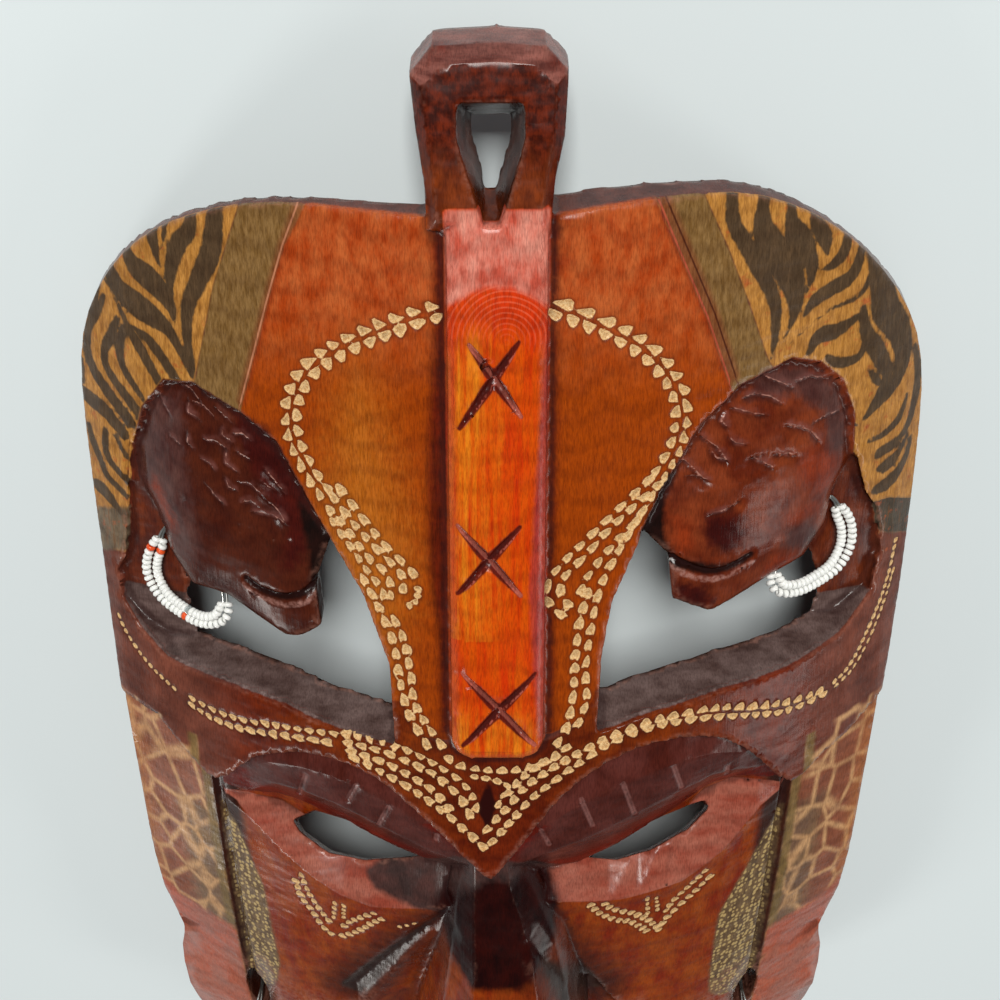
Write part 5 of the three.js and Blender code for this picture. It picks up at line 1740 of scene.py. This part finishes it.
@dataclass
class BeadLoop:
    """A loop of two rows of seed beads on wire."""

    name: str
    node: str
    path: tuple[Triple, ...]
    bare_from: float
    bare_to: float
    across: Triple | None = None
    bead_wide: float = 2.1
    bead_long: float = 1.12
    bead_hole: float = 0.5
    pitch: float = 0.97
    row_gap: float = 1.1
    lean: tuple[float, float] = (0.09, 0.07)
    wire: float = 0.3
    wire_steps: int = 22
    wire_lap: float = 1.2
    coloured: dict[int, int] | None = None

    def curve(self) -> tuple[Array, Array]:
        """Closed centripetal curve through the path.

        Returns:
            Points 0.1 mm apart and the distance run at each.
        """
        p = np.array(self.path, float)
        count = len(p)
        parts = []
        for i in range(count):
            a, b, c, d = (p[(i + k) % count] for k in (-1, 0, 1, 2))
            ta = 0.0
            tb = ta + np.linalg.norm(b - a) ** 0.5
            tc = tb + np.linalg.norm(c - b) ** 0.5
            td = tc + np.linalg.norm(d - c) ** 0.5
            t = np.linspace(tb, tc, 60, endpoint=False)[:, None]
            ab = (tb - t) / (tb - ta) * a + (t - ta) / (tb - ta) * b
            bc = (tc - t) / (tc - tb) * b + (t - tb) / (tc - tb) * c
            cd = (td - t) / (td - tc) * c + (t - tc) / (td - tc) * d
            abc = (tc - t) / (tc - ta) * ab + (t - ta) / (tc - ta) * bc
            bcd = (td - t) / (td - tb) * bc + (t - tb) / (td - tb) * cd
            parts.append((tc - t) / (tc - tb) * abc + (t - tb) / (tc - tb) * bcd)
        p = np.vstack(parts + [parts[0][:1]])
        run = np.concatenate([[0], np.cumsum(np.linalg.norm(np.diff(p, axis=0), axis=1))])
        return p, run

    def frame_at(self, p: Array, run: Array, s: float) -> tuple[Array, Array, Array]:
        """Find how the band lies at a distance along it.

        Args:
            p: Points of the curve.
            run: Distance run at each point.
            s: Distance along the curve.

        Returns:
            The place, the direction along the band and the direction across it.
        """
        here, ahead = (
            np.array([np.interp(q % run[-1], run, p[:, k]) for k in range(3)]) for q in (s, s + 0.05))
        along = (ahead - here) / np.linalg.norm(ahead - here)
        if self.across is None:
            wide = np.cross(along, np.array([0.0, 0.0, 1.0]))
        else:
            wide = np.array(self.across, float)
            wide -= along * (wide @ along)
        return here, along, wide / np.linalg.norm(wide)

    def seed_bead(self) -> bpy.types.Object:
        """Make one bead: a ring with a flat outside and a hole, standing on its axis.

        Returns:
            The bead.
        """
        bpy.ops.object.select_all(action="DESELECT")
        minor = (self.bead_wide / 2 - self.bead_hole / 2) / 2
        bpy.ops.mesh.primitive_torus_add(
            major_radius=(self.bead_hole / 2 + minor) * MM, minor_radius=minor * MM, major_segments=12,
            minor_segments=6)
        bead = bpy.context.active_object
        bead.data.shade_smooth()
        p = points_of(bead)
        p[:, 2] *= self.bead_long / (2 * minor)
        put_points(bead, p)
        return bead

    def build(self, glass: list[bpy.types.Material], metal: bpy.types.Material) -> bpy.types.Object:
        """String the beads and bend the wires.

        Args:
            glass: The glasses, plain white first.
            metal: The wire.

        Returns:
            The finished loop.
        """
        p, run = self.curve()
        parts = self.thread_beads(p, run, glass)
        count = len(parts)
        parts += [self.bend_wire(p, run, side, metal) for side in (-1, 1)]
        bpy.ops.object.select_all(action="DESELECT")
        for part in parts:
            part.select_set(True)
        bpy.context.view_layer.objects.active = parts[0]
        bpy.ops.object.join()
        obj = bpy.context.active_object
        bpy.ops.object.transform_apply(location=True, rotation=True, scale=True)
        obj.name = obj.data.name = self.name
        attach(obj, "root")
        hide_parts(self.node)
        log.info("%s: %d beads", self.name, count)
        return obj

    def thread_beads(
        self, p: Array, run: Array, glass: list[bpy.types.Material]
    ) -> list[bpy.types.Object]:
        """Thread both rows of beads, squeezed together at the ends of the beaded part.

        Args:
            p: Points of the curve.
            run: Distance run at each point.
            glass: The glasses, plain white first.

        Returns:
            The beads.
        """
        beaded = run[-1] * (1 - (self.bare_to - self.bare_from))
        count = int(beaded / (self.bead_long * self.pitch))
        seed = self.seed_bead()
        for material in glass:
            seed.data.materials.append(material)
        rng = np.random.default_rng(len(self.name))
        beads = []
        for i in range(count):
            here, along, wide = self.frame_at(p, run, self.bare_to * run[-1] + (i + 0.5) * beaded / count)
            squeeze = 0.55 + 0.45 * float(ease(min(i + 0.5, count - i - 0.5) / 2.2))
            turn = Matrix((wide, np.cross(wide, along), along)).transposed().to_4x4()
            for row in (-1, 1):
                bead = seed.copy()
                bead.data = seed.data.copy()
                bpy.context.scene.collection.objects.link(bead)
                spot = Vector(here + wide * row * self.row_gap * squeeze) * MM
                tips = [Matrix.Rotation(rng.normal(0, lean), 4, axis) for lean, axis in zip(self.lean, "XY")]
                bead.matrix_world = Matrix.Translation(spot) @ turn @ (tips[0] @ tips[1])
                chosen = (self.coloured or {}).get(i * 2 + (row > 0), 0)
                faces = bead.data.polygons
                faces.foreach_set("material_index", np.full(len(faces), chosen))
                beads.append(bead)
        bpy.data.objects.remove(seed)
        return beads

    def bend_wire(
        self, p: Array, run: Array, side: int, metal: bpy.types.Material
    ) -> bpy.types.Object:
        """Bend one of the two wires along the bare part of the loop.

        Args:
            p: Points of the curve.
            run: Distance run at each point.
            side: Which of the two wires, -1 or 1.
            metal: The wire.

        Returns:
            The wire.
        """
        line = bpy.data.curves.new(f"{self.name}_wire", "CURVE")
        line.dimensions = "3D"
        line.bevel_depth = self.wire * MM
        line.bevel_resolution = 2
        spline = line.splines.new("POLY")
        spline.points.add(self.wire_steps)
        start = self.bare_from * run[-1] - self.wire_lap
        span = (self.bare_to - self.bare_from) * run[-1] + 2 * self.wire_lap
        for i in range(self.wire_steps + 1):
            here, _, wide = self.frame_at(p, run, start + span * i / self.wire_steps)
            spot = (here + wide * side * (self.wire + 0.02 + 0.12 * math.sin(i * 0.9))) * MM
            spline.points[i].co = (*spot, 1)
        obj = bpy.data.objects.new(f"{self.name}_wire", line)
        bpy.context.scene.collection.objects.link(obj)
        line.materials.append(metal)
        only(obj)
        bpy.ops.object.convert(target="MESH")
        made = bpy.context.active_object
        made.data.shade_smooth()
        return made


def head_loops() -> tuple[BeadLoop, BeadLoop]:
    """Lay out the earrings of the two heads.

    Returns:
        The left and the right loop.
    """
    loops = []
    for name, plan, coloured in (
        ("left_head", LEFT_EARRING, {4: 1, 5: 1, 37: 1, 38: 2}), ("right_head", RIGHT_EARRING, None)
    ):
        path = tuple(
            (x, y, float(FRONT.board(np.float64(x), np.float64(y))) - deep) for x, y, deep in plan)
        loops.append(BeadLoop(f"{name}_beads", f"{name}_earring", path, 0.545, 0.975, coloured=coloured))
    return loops[0], loops[1]


def lobe_loop(side: int) -> BeadLoop:
    """Lay out the beads that hang from a lobe hole, over the lobe, round its edge and behind it.

    Args:
        side: -1 for the left lobe, 1 for the right one.

    Returns:
        The strand.
    """
    strand = ((65.9, -93.5), (68.4, -100.5), (70.8, -107.5), (73, -114))
    shell, lift, behind = 10.0, 2.1, 2.9

    def ear(x: float, y: float) -> float:
        """Height of the ear panel at one place."""
        return float(FRONT.ear(np.float64(x), np.float64(y)))

    edge, low = ear(75, -118.6), ear(63.2, -89)
    path = [(x, y, ear(x, y) + lift) for x, y in strand]
    path += [(74.4, -119.2, edge + 1), (75, -121, edge - 5), (74.4, -119.2, edge - 11.8)]
    path += [(x, y, ear(x, y) - shell - behind) for x, y in reversed(strand)]
    path += [(64.1, -88, low - 11.8), (63.2, -85.4, low - 5), (64.1, -88.6, low + 1.2)]
    name = "left" if side < 0 else "right"
    return BeadLoop(
        f"{name}_lobe_strand", f"{name}_lobe_beads", tuple((side * x, y, z) for x, y, z in path),
        0.745, 0.985, across=(side * 20.5, 7.1, -9.5))


# The studio


@dataclass(frozen=True)
class Studio:
    """Pale floor, soft lights and the camera of the photograph."""

    eye: Triple = (-0.4, 263.22, 292.63)
    tilt: float = 36.0
    lens: float = 56.88
    floor_size: float = 4.0
    floor_colour: str = "#d9e2e5"
    sky: str = "#f2f6f8"
    daylight: float = 0.16
    lamp: str = "#fffdf8"
    lights: tuple[tuple[str, Triple, tuple[float, float], float], ...] = (
        ("over_the_eye", (0.0, 1.41, 1.62), (0.42, 0.62), 44.0),
        ("low_left", (-1.5, -1.5, 0.95), (0.6, 0.6), 14.0),
        ("low_right", (1.7, -0.6, 0.95), (0.6, 0.6), 7.0),
    )

    def build(self) -> None:
        """Set up the camera, the floor and the lights."""
        bpy.context.scene.view_settings.view_transform = "Standard"
        self.place_camera()
        self.lay_floor()
        world = bpy.data.worlds.new("studio")
        bpy.context.scene.world = world
        world.use_nodes = True
        background = world.node_tree.nodes["Background"].inputs
        background["Color"].default_value = linear(self.sky)
        background["Strength"].default_value = self.daylight
        for light in self.lights:
            self.hang_light(*light)

    def place_camera(self) -> None:
        """Put the camera where the photograph was taken from."""
        camera = bpy.data.objects.new("camera", bpy.data.cameras.new("camera"))
        bpy.context.scene.collection.objects.link(camera)
        camera.data.lens = self.lens
        camera.data.sensor_width = 36.0
        camera.data.clip_start = 0.01
        camera.location = Vector(self.eye) * MM
        camera.rotation_euler = (-math.radians(self.tilt), 0.0, 0.0)
        bpy.context.scene.camera = camera

    def lay_floor(self) -> None:
        """Lay a matt pale board under the mask."""
        bpy.ops.object.select_all(action="DESELECT")
        bpy.ops.mesh.primitive_plane_add(size=self.floor_size, location=(0, 0, 0))
        floor = bpy.context.active_object
        floor.name = "floor"
        floor.data.materials.append(Layers("matt_painted_board").surface({
            "Base Color": linear(self.floor_colour), "Roughness": 0.9}))

    def hang_light(self, name: str, place: Triple, size: tuple[float, float], power: float) -> None:
        """Hang a soft light that looks at the mask.

        Args:
            name: Its name.
            place: Where it hangs, in metres.
            size: Its width and height in metres.
            power: Its power in watts.
        """
        light = bpy.data.objects.new(name, bpy.data.lights.new(name, "AREA"))
        bpy.context.scene.collection.objects.link(light)
        light.data.shape = "RECTANGLE"
        light.data.size, light.data.size_y = size
        light.data.energy = power
        light.data.color = linear(self.lamp)[:3]
        light.location = place
        light.rotation_euler = (-Vector(place)).to_track_quat("-Z", "Y").to_euler()


def main() -> None:
    """Build the mask, its beads and the studio in order."""
    logging.basicConfig(level=logging.INFO, format="%(name)s: %(message)s")
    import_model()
    Studio().build()
    CarvedMask().build()
    glass = [
        BeadGlass("white_pressed_glass", "#f4f5f2", "#e6e7e4").dress(),
        BeadGlass("orange_pressed_glass", "#d8441c", "#e8602a").dress(),
        BeadGlass("grey_clear_glass", "#a9b2b2", "#c2c8c6", 0.4).dress(),
    ]
    metal = DrawnWire().dress()
    for loop in (*head_loops(), lobe_loop(-1), lobe_loop(1)):
        loop.build(glass, metal)
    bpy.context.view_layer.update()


if __name__ == "__main__":
    main()
